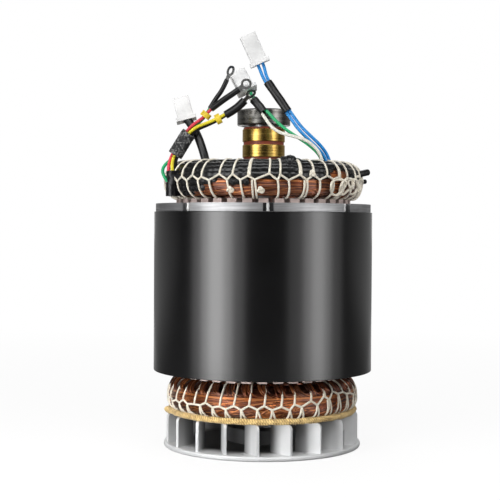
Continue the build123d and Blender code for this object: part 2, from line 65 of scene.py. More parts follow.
Array = np.ndarray
Piece = bpy.types.Object
Socket = bpy.types.NodeSocket
Point = tuple[float, float, float]
Colour = tuple[float, float, float]
Span = tuple[float, float]
Inputs = dict[str | int, object]
HALF_TURN, FULL_TURN = math.pi, 2 * math.pi
EVEN: Point = (1.0, 1.0, 1.0)
WHITE: Colour = (1.0, 1.0, 1.0)
FRONT_UP: Point = (0.0, -1.0, 0.3)
ROTOR, STATOR = "rotor", "stator"
SLOTS = 36


# Shapes as whole arrays


def unit(vectors: Array) -> Array:
    """Scales the vectors on the last axis to length one."""
    return vectors / np.maximum(np.linalg.norm(vectors, axis=-1, keepdims=True), 1e-12)


def circle(count: int) -> Array:
    """Angles that divide a full turn evenly."""
    return np.linspace(0, FULL_TURN, count, endpoint=False)


def columns(records: tuple) -> Array:
    """One column of numbers for each field of like records."""
    return np.array([astuple(record) for record in records]).T[..., None]


def signed_power(value: Array, power: float) -> Array:
    """Raises a number's size to a power and keeps its sign."""
    return np.sign(value) * np.abs(value) ** power


def ring_points(angle: Array, radius: Array, height: Array) -> Array:
    """Places points on circles round the shaft: x = r sin a, y = -r cos a, z = height.

    Args:
        angle: Angle from the front, growing to the right.
        radius: Distance from the shaft's axis.
        height: Height above the floor.

    Returns:
        The points, with their components on the last axis.
    """
    parts = np.broadcast_arrays(radius * np.sin(angle), -radius * np.cos(angle), height)
    return np.stack(parts, axis=-1)


def smooth_wander(angle: Array, seeds: np.random.Generator, count: int, waves: tuple[int, ...]) -> Array:
    """Adds a few sine waves of random phase and falling size, one sum for each line.

    Args:
        angle: The angles along a line.
        seeds: The random source.
        count: How many lines.
        waves: Whole numbers of waves in a turn.

    Returns:
        Values of about -1 to 1, one row for each line.
    """
    phases = seeds.uniform(0, FULL_TURN, (count, len(waves), 1))
    sizes = seeds.uniform(0.5, 1.0, (count, len(waves), 1)) / len(waves)
    return (sizes * np.sin(np.array(waves)[None, :, None] * angle + phases)).sum(axis=1)


def grid_object(
    name: str,
    points: Array,
    closed: tuple[bool, bool],
    capped: bool = False,
    flip: bool = False,
    tone: Array | None = None,
) -> Piece:
    """Makes one mesh from like grids of points.

    The faces join neighbours on each grid. Their front is the second parameter's direction
    crossed with the first one's, or the other side where flip is set.

    Args:
        name: The object's name.
        points: Grids, rows, columns and components.
        closed: Whether the rows, and the columns, join up at their ends.
        capped: Whether the first and last rows are closed with one face each.
        flip: Whether to turn the faces over.
        tone: A shade number for each grid, kept as an attribute.

    Returns:
        The new object, linked to the scene.
    """
    count, rows, cols = points.shape[:3]
    row = np.arange(rows if closed[0] else rows - 1)[None, :, None, None]
    col = np.arange(cols if closed[1] else cols - 1)[None, None, :, None]
    grid = (np.arange(count) * rows * cols)[:, None, None, None]
    row_step, col_step = np.array([0, 0, 1, 1]), np.array([0, 1, 1, 0])
    if flip:
        row_step, col_step = row_step[::-1], col_step[::-1]
    quads = grid + ((row + row_step) % rows) * cols + (col + col_step) % cols
    across = np.broadcast_to((row + row_step) / rows, quads.shape)
    along = np.broadcast_to((col + col_step) / cols, quads.shape)
    loops, texture = quads.ravel(), np.stack([across.ravel(), along.ravel()], axis=-1)
    starts = np.arange(quads.size // 4) * 4
    if capped:
        rim = np.arange(cols)
        first = np.arange(count)[:, None] * rows * cols
        ends = np.concatenate([first + rim[::-1], first + (rows - 1) * cols + rim])
        starts = np.concatenate([starts, loops.size + np.arange(len(ends)) * cols])
        loops = np.concatenate([loops, ends.ravel()])
        texture = np.concatenate([texture, np.zeros((ends.size, 2))])
    mesh = bpy.data.meshes.new(name)
    mesh.vertices.add(count * rows * cols)
    mesh.vertices.foreach_set("co", points.astype(np.float32).ravel())
    mesh.loops.add(loops.size)
    mesh.loops.foreach_set("vertex_index", loops.astype(np.int32))
    mesh.polygons.add(starts.size)
    mesh.polygons.foreach_set("loop_start", starts.astype(np.int32))
    mesh.polygons.foreach_set("use_smooth", np.ones(starts.size, dtype=bool))
    mesh.uv_layers.new(name="UVMap").data.foreach_set("uv", texture.astype(np.float32).ravel())
    if tone is not None:
        shade = mesh.attributes.new("tone", "FLOAT", "POINT")
        shade.data.foreach_set("value", np.repeat(tone, rows * cols).astype(np.float32))
    mesh.update(calc_edges=True)
    mesh.validate()
    return linked(name, mesh)


def linked(name: str, data: bpy.types.ID) -> Piece:
    """Makes an object of some data and links it to the scene.

    Args:
        name: The object's name.
        data: A mesh, curve, lamp or camera.

    Returns:
        The new object.
    """
    made = bpy.data.objects.new(name, data)
    bpy.context.scene.collection.objects.link(made)
    return made


def tube_frames(paths: Array, outwards: Array, closed: bool) -> tuple[Array, Array]:
    """Two directions square to each path: the outward one made square to it, and its neighbour.

    Args:
        paths: Lines, points and components.
        outwards: A direction for each point that isn't along the path.
        closed: Whether each path is a loop.

    Returns:
        The normals n and the directions t x n, where t runs along the path.
    """
    ahead = np.roll(paths, -1, 1) - np.roll(paths, 1, 1) if closed else np.gradient(paths, axis=1)
    tangent = unit(ahead)
    normal = unit(outwards - (outwards * tangent).sum(-1, keepdims=True) * tangent)
    return normal, np.cross(tangent, normal)


def around(normal: Array, binormal: Array, turn: Array) -> Array:
    """Directions round a path: n cos w + b sin w."""
    return np.cos(turn)[..., None] * normal + np.sin(turn)[..., None] * binormal


def tubes(
    name: str,
    paths: Array,
    outwards: Array,
    radius: Array | float,
    sides: int,
    closed: bool = False,
    tone: Array | None = None,
) -> Piece:
    """Carries a circle along each path, point = path + r (n cos w + b sin w), with flat ends if open.

    Args:
        name: The object's name.
        paths: Lines, points and components.
        outwards: A direction for each point that isn't along the path.
        radius: One radius, or one for each point.
        sides: Points round each tube.
        closed: Whether each path is a loop.
        tone: A shade number for each tube.

    Returns:
        All the tubes as one new object.
    """
    normal, binormal = tube_frames(paths, outwards, closed)
    ring = around(normal[:, :, None], binormal[:, :, None], circle(sides))
    size = np.broadcast_to(radius, paths.shape[:2])[:, :, None, None]
    return grid_object(name, paths[:, :, None] + size * ring, (closed, True), capped=not closed, tone=tone)


# Finishes


class Graph:
    """A node tree, with short calls that add nodes to it."""

    def __init__(self, tree: bpy.types.NodeTree) -> None:
        """Works on a tree as it stands."""
        self.nodes, self.links = tree.nodes, tree.links

    def fill(self, node: bpy.types.Node, inputs: Inputs) -> None:
        """Links sockets to a node's inputs, and sets other values on them.

        Args:
            node: The node.
            inputs: Names or numbers of inputs, each with a socket or a value.
        """
        for name, value in inputs.items():
            if isinstance(value, Socket):
                self.links.new(value, node.inputs[name])
            else:
                node.inputs[name].default_value = value

    def node(self, kind: str, output: str, inputs: Inputs | None = None, **choices: str) -> Socket:
        """Adds one node.

        Args:
            kind: The node's type.
            output: The output that is wanted.
            inputs: Sockets and values for its inputs.
            choices: The node's own settings.

        Returns:
            The wanted output.
        """
        node = self.nodes.new(f"ShaderNode{kind}")
        for name, choice in choices.items():
            setattr(node, name, choice)
        self.fill(node, inputs or {})
        return node.outputs[output]

    def between(self, value: Socket, span: Span = (0.0, 1.0), result: Span = (0.0, 1.0)) -> Socket:
        """A number that changes evenly over a span of some value, and holds at its ends."""
        names = ("From Min", "From Max", "To Min", "To Max")
        return self.node("MapRange", "Result", {"Value": value, **dict(zip(names, (*span, *result)))})

    def maths(self, kind: str, first: Socket, second: Socket) -> Socket:
        """One sum on two numbers."""
        return self.node("Math", "Value", {0: first, 1: second}, operation=kind)

    def ray(self, kind: str) -> Socket:
        """One for rays of a kind, and nought for others."""
        return self.node("LightPath", f"Is {kind} Ray")

    def mirror_rays(self) -> Socket:
        """One for rays from mirrors and glass, and nought for others."""
        return self.maths("MAXIMUM", self.ray("Glossy"), self.ray("Transmission"))


class Shader(Graph):
    """A material with one surface shader."""

    def __init__(self, name: str) -> None:
        """Starts a material.

        Args:
            name: The material's name.
        """
        self.material = bpy.data.materials.new(name)
        self.material.use_nodes = True
        super().__init__(self.material.node_tree)
        self.surface = self.nodes["Principled BSDF"]

    def set(self, inputs: Inputs) -> None:
        """Sets or links the surface shader's own sockets."""
        self.fill(self.surface, inputs)

    def coordinates(self, source: str = "Object", stretch: Point = EVEN) -> Socket:
        """Object or UV coordinates, stretched along each axis."""
        return self.node("Mapping", "Vector", {"Vector": self.node("TexCoord", source), "Scale": stretch})

    def noise(self, scale: float, detail: float = 3.0, stretch: Point = EVEN) -> Socket:
        """Cloudy noise on object coordinates."""
        place = self.coordinates("Object", stretch)
        return self.node("TexNoise", "Fac", {"Scale": scale, "Detail": detail, "Vector": place})

    def stripes(self, scale: float, stretch: Point) -> Socket:
        """Slanting stripes: bands along the sum of the stretched UV coordinates."""
        inputs = {"Scale": scale, "Distortion": 0.4, "Vector": self.coordinates("UV", stretch)}
        return self.node("TexWave", "Fac", inputs, bands_direction="DIAGONAL")

    def distance(self, stretch: Point = EVEN) -> Socket:
        """Distance from the object's origin, with each axis stretched."""
        return self.node("VectorMath", "Value", {0: self.coordinates("Object", stretch)}, operation="LENGTH")

    def tone(self) -> Socket:
        """The shade number kept on the mesh."""
        return self.node("Attribute", "Fac", attribute_name="tone")

    def ramp(self, factor: Socket, *stops: tuple[float, Colour]) -> Socket:
        """Turns a number into a colour through stops.

        Args:
            factor: The number.
            stops: Places from low to high, each with its colour.

        Returns:
            The colour.
        """
        ramp = self.node("ValToRGB", "Color", {"Fac": factor})
        elements = ramp.node.color_ramp.elements
        while len(elements) < len(stops):
            elements.new(1.0)
        for element, (place, colour) in zip(elements, stops):
            element.position = place
            element.color = (*colour, 1.0)
        return ramp

    def combine(self, mode: str, first: Socket, second: Socket, share: float) -> Socket:
        """Mixes two colours by a blend mode."""
        inputs = {"Factor": share, "A": first, "B": second}
        return self.node("Mix", "Result", inputs, data_type="RGBA", blend_type=mode)

    def add(self, first: Socket, second: Socket, weight: float) -> Socket:
        """The first number plus the second one times a weight."""
        return self.node("Math", "Value", {0: second, 1: weight, 2: first}, operation="MULTIPLY_ADD")

    def look(self, colour: Socket, gloss: Socket, low: float, high: float) -> None:
        """Gives the surface its colour, and a gloss that varies between two roughnesses."""
        self.set({"Base Color": colour, "Roughness": self.between(gloss, result=(low, high))})

    def bump(self, height: Socket, distance: float, strength: float) -> None:
        """Raises fine relief of that height in metres."""
        inputs = {"Height": height, "Distance": distance, "Strength": strength}
        self.set({"Normal": self.node("Bump", "Normal", inputs)})


@dataclass(frozen=True)
class Finish:
    """What every finish has: its name, a slot name and one material."""

    name: str
    slot: str

    def shade(self, shader: Shader) -> None:
        """Adds the finish's nodes to an empty material."""
        raise NotImplementedError

    def material(self) -> bpy.types.Material:
        """Makes the finish's material at its first use.

        Returns:
            The material.
        """
        made = bpy.data.materials.get(f"finish_{self.name}")
        if made is None:
            shader = Shader(f"finish_{self.name}")
            self.shade(shader)
            made = shader.material
        return made


@dataclass(frozen=True)
class CastMetal(Finish):
    """Grey metal with the fine grain and soft blotches of a casting."""

    dark: Colour
    light: Colour
    grain: float = 1400.0
    relief: float = 0.00012

    def shade(self, shader: Shader) -> None:
        """Blotches tint the metal, and a fine grain roughens it.

        Args:
            shader: The empty material.
        """
        blotch, grain = shader.noise(28.0, 4.0), shader.noise(self.grain, 2.0)
        shader.set({"Metallic": 0.3})
        metal = shader.ramp(blotch, (0.3, self.dark), (0.7, self.light))
        shader.look(self.tint(shader, metal), grain, 0.42, 0.6)
        shader.bump(grain, self.relief, 0.35)

    def tint(self, shader: Shader, metal: Socket) -> Socket:
        """The metal's own colour."""
        return metal


@dataclass(frozen=True)
class HubShadedCasting(CastMetal):
    """A casting whose colour is painted darker towards the hub as painted shade of the fan's interior, and
    kept at full colour at its rim.
    """

    # Painted shade: the colour is multiplied down to a dark grey inside the first radius and rises to full
    # colour at the second.
    hub_shade: Colour = (0.13, 0.13, 0.13)
    full_shade_radius: float = 0.062
    unshaded_radius: float = 0.0765

    def tint(self, shader: Shader, metal: Socket) -> Socket:
        """Painted shade darkens the metal by its distance from the shaft."""
        spread = shader.between(shader.distance((1.0, 1.0, 0.0)), (self.full_shade_radius, self.unshaded_radius))
        return shader.combine("MULTIPLY", metal, shader.ramp(spread, (0.0, self.hub_shade), (1.0, WHITE)), 1.0)


@dataclass(frozen=True)
class LinedMetal(Finish):
    """Metal with fine lines round the shaft, turned or made of stacked sheets."""

    dark: Colour
    light: Colour
    lines: float = 900.0
    low_roughness: float = 0.2
    high_roughness: float = 0.4
    relief: float = 0.00004

    def shade(self, shader: Shader) -> None:
        """Noise that is long round the shaft and short along it gives the lines.

        Args:
            shader: The empty material.
        """
        line, smear = shader.noise(self.lines, 2.0, (0.02, 0.02, 1.0)), shader.noise(60.0)
        shader.set({"Metallic": 1.0})
        tint = shader.ramp(line, (0.3, self.dark), (0.65, self.light))
        cloud = shader.ramp(smear, (0.25, self.dark), (0.6, self.light))
        metal = shader.combine("MIX", tint, cloud, 0.35)
        shader.look(metal, line, self.low_roughness, self.high_roughness)
        shader.bump(line, self.relief, 0.5)


@dataclass(frozen=True)
class SatinPaint(Finish):
    """Sprayed paint with a faint orange peel."""

    colour: Colour
    gloss_low: float = 0.20
    gloss_high: float = 0.23

    def shade(self, shader: Shader) -> None:
        """Small soft bumps break the reflections a little.

        Args:
            shader: The empty material.
        """
        peel, patch = shader.noise(700.0, 2.0), shader.noise(22.0)
        lighter = tuple(c * 1.6 + 0.001 for c in self.colour)
        shader.set({"Specular IOR Level": 1.0, "Coat Weight": 0.4, "Coat Roughness": 0.22})
        paint = shader.ramp(patch, (0.3, self.colour), (0.75, lighter))
        shader.look(paint, patch, self.gloss_low, self.gloss_high)
        shader.bump(peel, 0.00006, 0.3)


@dataclass(frozen=True)
class Enamel(Finish):
    """Varnished copper wire, each wire with its own shade."""

    dark: Colour
    middle: Colour
    light: Colour
    varnish: Colour = (0.16, 0.11, 0.10)

    def shade(self, shader: Shader) -> None:
        """The wire's tone picks a copper, and stains of varnish darken it.

        Args:
            shader: The empty material.
        """
        stain = shader.noise(42.0, 4.0, (1.0, 1.0, 1.6))
        copper = shader.ramp(shader.tone(), (0.0, self.dark), (0.5, self.middle), (1.0, self.light))
        varnish = shader.ramp(stain, (0.38, self.varnish), (0.62, WHITE))
        shader.set({"Metallic": 0.8, "Coat Weight": 1.0, "Coat Roughness": 0.10})
        shader.look(shader.combine("MULTIPLY", copper, varnish, 0.75), stain, 0.36, 0.22)


@dataclass(frozen=True)
class Sleeving(Finish):
    """Black varnished sleeving, wrinkled along its length."""

    colour: Colour = (0.005, 0.005, 0.0055)
    wrinkle: float = 0.0011

    def shade(self, shader: Shader) -> None:
        """Cloudy wrinkles catch the light on a glossy black.

        Args:
            shader: The empty material.
        """
        fold, dust = shader.noise(170.0, 4.0), shader.noise(40.0)
        worn = tuple(c + 0.010 for c in self.colour)
        shader.look(shader.ramp(dust, (0.35, self.colour), (0.8, worn)), dust, 0.16, 0.32)
        shader.bump(fold, self.wrinkle, 0.55)


@dataclass(frozen=True)
class TwistedYarn(Finish):
    """Cord of twisted yarn: slanting strands in UV, soft and matt."""

    dark: Colour
    light: Colour
    twist: Point = (26.0, 1.0, 1.0)
    relief: float = 0.0004

    def shade(self, shader: Shader) -> None:
        """Slanting stripes are the strands, and noise is dirt and fluff.

        Args:
            shader: The empty material.
        """
        strand, dirt = shader.stripes(1.6, self.twist), shader.noise(240.0, 4.0)
        yarn = shader.ramp(strand, (0.1, self.dark), (0.7, self.light))
        fluff = shader.ramp(dirt, (0.3, self.dark), (0.62, self.light))
        shader.set({"Sheen Weight": 0.25})
        shader.look(shader.combine("MIX", yarn, fluff, 0.5), dirt, 0.7, 0.9)
        shader.bump(shader.add(strand, dirt, 0.6), self.relief, 0.5)


@dataclass(frozen=True)
class Plastic(Finish):
    """Plain insulation or moulding in one colour, with a little unevenness."""

    colour: Colour
    gloss: float = 0.38
    relief: float = 0.00008

    def shade(self, shader: Shader) -> None:
        """Slight cloudiness in the colour, the gloss and the surface.

        Args:
            shader: The empty material.
        """
        cloud, skin = shader.noise(90.0), shader.noise(900.0, 2.0)
        darker = tuple(c * 0.82 for c in self.colour)
        tint = shader.ramp(cloud, (0.3, darker), (0.65, self.colour))
        shader.look(tint, cloud, self.gloss * 0.8, self.gloss * 1.2)
        shader.bump(skin, self.relief, 0.3)


@dataclass(frozen=True)
class FleckedYarn(Finish):
    """Braid of dark carriers with a few pale ones."""

    dark: Colour
    pale: Colour

    def shade(self, shader: Shader) -> None:
        """Each carrier's tone says whether it is pale, and noise breaks it up.

        Args:
            shader: The empty material.
        """
        fleck = shader.noise(420.0)
        yarn = shader.ramp(shader.tone(), (0.70, self.dark), (0.80, self.pale))
        worn = shader.ramp(fleck, (0.48, self.dark), (0.66, self.pale))
        shader.look(shader.combine("MIX", yarn, worn, 0.35), fleck, 0.55, 0.8)
        shader.bump(fleck, 0.0002, 0.5)


class Finishes(Enum):
    """The finishes of the machine, by the pieces that have them."""

    # The fan's casting, with painted shade towards the hub.
    CASTING = HubShadedCasting("casting", "cast_aluminium", (0.60, 0.605, 0.61), (0.74, 0.745, 0.75))
    STACK = LinedMetal(
        "stack", "laminations", (0.22, 0.22, 0.225), (0.58, 0.58, 0.59), 1500.0, 0.40, 0.56, 0.00008
    )
    WELD = CastMetal("weld", "laminations", (0.50, 0.50, 0.50), (0.80, 0.80, 0.79))
    # Near-black painted shade for the floors of the core's notches.
    NOTCH_SHADE = CastMetal("notch_shade", "laminations", (0.008, 0.008, 0.0085), (0.03, 0.03, 0.031))
    BAND = SatinPaint("band", "black_paint", (0.0018, 0.0018, 0.002))
    COPPER = Enamel(
        "copper", "enamelled_copper", (0.05, 0.013, 0.007), (0.32, 0.080, 0.024), (1.0, 0.37, 0.11)
    )
    PAPER = Plastic("slot_paper", "slot_paper", (0.66, 0.53, 0.49), 0.8, 0.0001)
    WEDGE = Plastic("slot_wedge", "wedge_paper", (0.74, 0.55, 0.50), 0.8, 0.0001)
    LACING = TwistedYarn("lacing", "slot_paper", (0.80, 0.70, 0.53), (0.97, 0.93, 0.82))
    ROPE = TwistedYarn(
        "rope", "packing_rope", (0.28, 0.15, 0.035), (0.90, 0.66, 0.28), (90.0, 1.0, 1.0), 0.0009
    )
    SLEEVE = Sleeving("sleeve", "black_sleeve")
    BRAID = FleckedYarn("braid", "braid", (0.016, 0.016, 0.017), (0.26, 0.26, 0.255))
    SHAFT = LinedMetal("shaft", "steel", (0.34, 0.34, 0.35), (0.62, 0.62, 0.63))
    BEARING = LinedMetal(
        "bearing", "bearing_steel", (0.10, 0.095, 0.085), (0.34, 0.33, 0.31), 700.0, 0.20, 0.32
    )
    SHIELD = LinedMetal("shield", "shield_steel", (0.22, 0.22, 0.23), (0.40, 0.40, 0.41), 700.0, 0.3, 0.45)
    BRASS = LinedMetal(
        "brass", "slip_ring_brass", (0.38, 0.20, 0.035), (0.78, 0.53, 0.15), 1100.0, 0.18, 0.32
    )
    RESIN = Plastic("resin", "hub_resin", (0.30, 0.06, 0.025), 0.45)
    BLUE = Plastic("blue", "blue_lead", (0.014, 0.27, 0.70))
    GREEN = Plastic("green", "green_lead", (0.010, 0.42, 0.15))
    WHITE = Plastic("white", "white_lead", (0.82, 0.81, 0.72))
    RED = Plastic("red", "red_lead", (0.72, 0.045, 0.075))
    YELLOW = Plastic("yellow", "yellow_lead", (0.80, 0.68, 0.03))
    BLACK = Plastic("black", "black_lead", (0.007, 0.007, 0.0075))
    SHRINK = Plastic("shrink", "black_sleeve", (0.007, 0.007, 0.0075), 0.36, 0.00015)
    MARKER = Plastic("marker", "marker", (0.82, 0.60, 0.04), 0.5)
    NYLON = Plastic("nylon", "plug_nylon", (0.87, 0.87, 0.865), 0.34, 0.00005)
    TIN = LinedMetal("tin", "tinned_terminal", (0.10, 0.10, 0.10), (0.30, 0.30, 0.295), 400.0, 0.25, 0.4)

    def dress(self, piece: Piece) -> Piece:
        """Puts the finish on a piece.

        Args:
            piece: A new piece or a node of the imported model.

        Returns:
            The same piece.
        """
        piece.data.materials.clear()
        piece.data.materials.append(self.value.material())
        return piece

    def add(self, piece: Piece, body: str, *nodes: str) -> Piece:
        """Dresses a new piece and lets it ride on a body, in place of some nodes.

        Args:
            piece: The new piece.
            body: The body that carries it.
            nodes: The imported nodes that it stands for.

        Returns:
            The same piece.
        """
        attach(self.dress(piece), body)
        if nodes:
            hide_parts(*nodes)
        log.info("piece %s on %s", piece.name, body)
        return piece


# Windings


@dataclass(frozen=True)
class Section:
    """The rounded section of an end winding: a rectangle with its own round at each corner."""

    inner: float
    outer: float
    bottom: float
    top: float
    rounds: tuple[float, float, float, float]

    def outline(self) -> Array:
        """The outline from the outer bottom corner up and round, with an arc c + q (cos a, sin a) at each.

        Returns:
            Rows of polar angle, radius, height and the two parts of the outward direction.
        """
        signs = np.array([[1, -1], [1, 1], [-1, 1], [-1, -1]])
        corners = np.where(signs > 0, [self.outer, self.top], [self.inner, self.bottom])
        rounds = np.array(self.rounds)[:, None]
        angle = (np.arange(4)[:, None] - 1) * HALF_TURN / 2 + np.linspace(0, HALF_TURN / 2, 24)
        facing = np.stack([np.cos(angle), np.sin(angle)], axis=-1)
        points = (corners - signs * rounds)[:, None] + rounds[..., None] * facing
        flat = np.concatenate([points.reshape(-1, 2), facing.reshape(-1, 2)], axis=1)
        flat = np.concatenate([flat, flat[:1]])
        step = np.linspace(0, 1, 8, endpoint=False)[None, :, None]
        dense = (flat[:-1, None] * (1 - step) + flat[1:, None] * step).reshape(-1, 4)
        middle = (self.inner + self.outer) / 2, (self.bottom + self.top) / 2
        polar = np.arctan2(dense[:, 1] - middle[1], dense[:, 0] - middle[0])
        return np.column_stack([polar, dense])[np.argsort(polar)]

    def at(self, turn: Array, lift: Array | float) -> tuple[Array, Array]:
        """Radius and height where a ray from the section's middle leaves it, moved out by the lift.

        Args:
            turn: Angle of the ray from straight outwards, growing over the top.
            lift: Distance outside the section.

        Returns:
            The radii and the heights.
        """
        polar, *parts = self.outline().T
        wrapped = (turn + HALF_TURN) % FULL_TURN - HALF_TURN
        radius, height, out, up = (np.interp(wrapped, polar, part, period=FULL_TURN) for part in parts)
        return radius + lift * out, height + lift * up

    def place(self, angle: Array, turn: Array, lift: Array | float) -> Array:
        """Points of the winding's surface, for angles round the shaft and turns of the section."""
        return ring_points(angle, *self.at(turn, lift))

    def outward(self, angle: Array, turn: Array) -> Array:
        """About the surface's normal: the ray's own direction."""
        angle, turn = np.broadcast_arrays(angle, turn)
        return ring_points(angle, np.cos(turn), np.sin(turn))

    def tubes(
        self,
        name: str,
        place: tuple[Array, Array, Array | float],
        radius: Array | float,
        sides: int,
        closed: bool = False,
        tone: Array | None = None,
    ) -> Piece:
        """Makes tubes that lie on the winding.

        Args:
            name: The object's name.
            place: Angles round the shaft, turns of the section and lifts along each tube.
            radius: One radius, or one for each point.
            sides: Points round each tube.
            closed: Whether each tube is a loop.
            tone: A shade number for each tube.

        Returns:
            All the tubes as one new object.
        """
        outwards = self.outward(*place[:2])
        return tubes(name, self.place(*place), outwards, radius, sides, closed, tone)

    def even_turns(self, first: float, last: float, count: int) -> Array:
        """Turns that divide a stretch of the section into equal lengths.

        Args:
            first: The stretch's first turn.
            last: Its last turn.
            count: How many turns.

        Returns:
            The turns, from first to last.
        """
        fine = np.linspace(first, last, 600)
        radius, height = self.at(fine, 0.0)
        steps = np.hypot(np.diff(radius), np.diff(height))
        length = np.concatenate([[0.0], np.cumsum(steps)])
        return np.interp(np.linspace(0, length[-1], count), length, fine)


@dataclass
class EndWinding:
    """A ring of end turns: a ridged bundle with loose-laid wires on its outside.

    Turns of the section are in degrees: strands lie from strand_bottom to strand_top, slot wires
    climb from slot_turn to climb, and neck wires fall from neck_turn to under the strands' top.
    """

    node: str
    rounds: tuple[float, float, float, float]
    inner: float = 0.0589
    inset: float = 0.0002
    drop: float = 0.0
    wire: float = 0.00068
    climb: float = -12.0
    strand_bottom: float = -84.0
    strand_top: float = 112.0
    slot_turn: float = -88.0
    neck_turn: float = 80.0
    neck: float = 0.0
    neck_lift: float = 0.0012
    neck_drift: Span = (0.02, 0.20)
    neck_margin: float = 12.0
    waist_margin: float = 14.0
    slot_run: Span = (0.55, 1.0)
    slot_bow: float = 0.0005
    wander_lift: float = 0.0005
    wander_turn: float = 0.07
    stray_lift: float = 0.0003
    stray_turn: float = 0.03
    wires: int = 46
    group: int = 6
    rows: int = 240
    ridges: int = 34
    ridge: float = 0.00035
    lump: float = 0.0004
    seed: int = 5
    section: Section = field(init=False)

    def __post_init__(self) -> None:
        """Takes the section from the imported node's box."""
        low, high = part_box(self.node)
        self.section = Section(self.inner, high.x, low.z - self.drop, high.z, self.rounds)

    def bundle(self) -> Piece:
        """The body of the winding: its section with shallow ridges carried round the shaft.

        Returns:
            The bundle as one new object.
        """
        angle, turn = circle(self.rows)[:, None], circle(self.ridges * 4)
        ridge = self.ridge * np.cos(self.ridges * turn + 1.5 * np.sin(2 * angle))
        lump = self.lump * (np.sin(9 * angle + 2 * turn) * np.cos(5 * angle - turn) - 1)
        waist_top = self.strand_top - self.waist_margin
        waist = self.neck * np.clip(np.sin(turn - math.radians(waist_top)), 0, 0.5) * 2
        grid = self.section.place(angle, turn, ridge + lump - waist - self.inset - self.wire)
        name = f"{self.node}_bundle"
        return grid_object(name, grid[None], (True, True), flip=True, tone=np.array([0.3]))

    def strands(self) -> Piece:
        """Wires round the outside, which wander in groups as hand-laid bundles do.

        Returns:
            The wires as one new object.
        """
        seeds = np.random.default_rng(self.seed)
        angle = circle(220)
        stretch = np.radians([self.strand_bottom, self.strand_top])
        turn = self.section.even_turns(*stretch, self.wires)[:, None]
        group = np.arange(self.wires) // self.group
        wander = smooth_wander(angle, seeds, group.max() + 1, (2, 3, 5))[group]
        stray = smooth_wander(angle, seeds, self.wires, (4, 7, 11))
        lift = self.wander_lift * wander + self.stray_lift * stray - self.inset - self.wire
        place = (angle, turn + self.wander_turn * wander + self.stray_turn * stray, lift)
        tone = seeds.uniform(0.15, 1.0, self.wires)
        return self.section.tubes(f"{self.node}_wires", place, self.wire, 6, closed=True, tone=tone)

    def from_slots(self, wires: int, spread: float, points: int) -> tuple[Array, Array, Array]:
        """The slots' angles for each wire, its place in the slot, and steps along it."""
        slot = np.repeat(np.arange(SLOTS) * FULL_TURN / SLOTS, wires)[:, None]
        return slot, np.tile(np.linspace(-spread, spread, wires), SLOTS)[:, None], np.linspace(0, 1, points)

    def crossings(self) -> Piece:
        """Wires that climb slantwise out of the slots: the turn rises while the angle runs on.

        Returns:
            The wires as one new object.
        """
        seeds = np.random.default_rng(self.seed + 1)
        slot, spread, step = self.from_slots(wires=5, spread=0.03, points=18)
        angle = slot + spread + seeds.uniform(*self.slot_run, slot.shape) * step**1.4
        low, high = np.radians([self.slot_turn, self.climb])
        turn = low + (high - low + 12 * spread) * np.sin(step * HALF_TURN / 2)
        lift = self.slot_bow * np.sin(HALF_TURN * step) - self.inset - self.wire
        tone = seeds.uniform(0.1, 0.9, len(slot))
        return self.section.tubes(f"{self.node}_slot_wires", (angle, turn, lift), self.wire, 5, tone=tone)

    def necks(self) -> Piece:
        """Wires that come out of the slots in groups: the turn falls while the angle drifts.

        Returns:
            The wires as one new object.
        """
        seeds = np.random.default_rng(self.seed + 2)
        slot, spread, step = self.from_slots(wires=6, spread=0.044, points=14)
        drift = seeds.uniform(*self.neck_drift, slot.shape)
        angle = slot + spread * (1 - 0.25 * step) + drift * step**2.2
        ease, fall = step * HALF_TURN / 2, self.strand_top - self.neck_turn - self.neck_margin
        turn = np.radians(self.neck_turn + fall * np.sin(ease))
        lift = self.neck_lift * np.cos(ease) - 0.6 * self.wire * step - self.inset
        tone = seeds.uniform(0.1, 0.8, len(slot))
        return self.section.tubes(f"{self.node}_neck_wires", (angle, turn, lift), self.wire, 5, tone=tone)

    def build(self) -> None:
        """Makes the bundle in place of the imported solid, and the wires on it."""
        Finishes.COPPER.add(self.bundle(), STATOR, self.node)
        Finishes.COPPER.add(self.strands(), STATOR)
        Finishes.COPPER.add(self.crossings(), STATOR)
        if self.neck:
            Finishes.COPPER.add(self.necks(), STATOR)


@dataclass(frozen=True)
class SleeveRun:
    """One run of black sleeving round the winding, in degrees and metres."""

    turn: float
    start: float
    end: float
    radius: float
    lift: float = 0.0


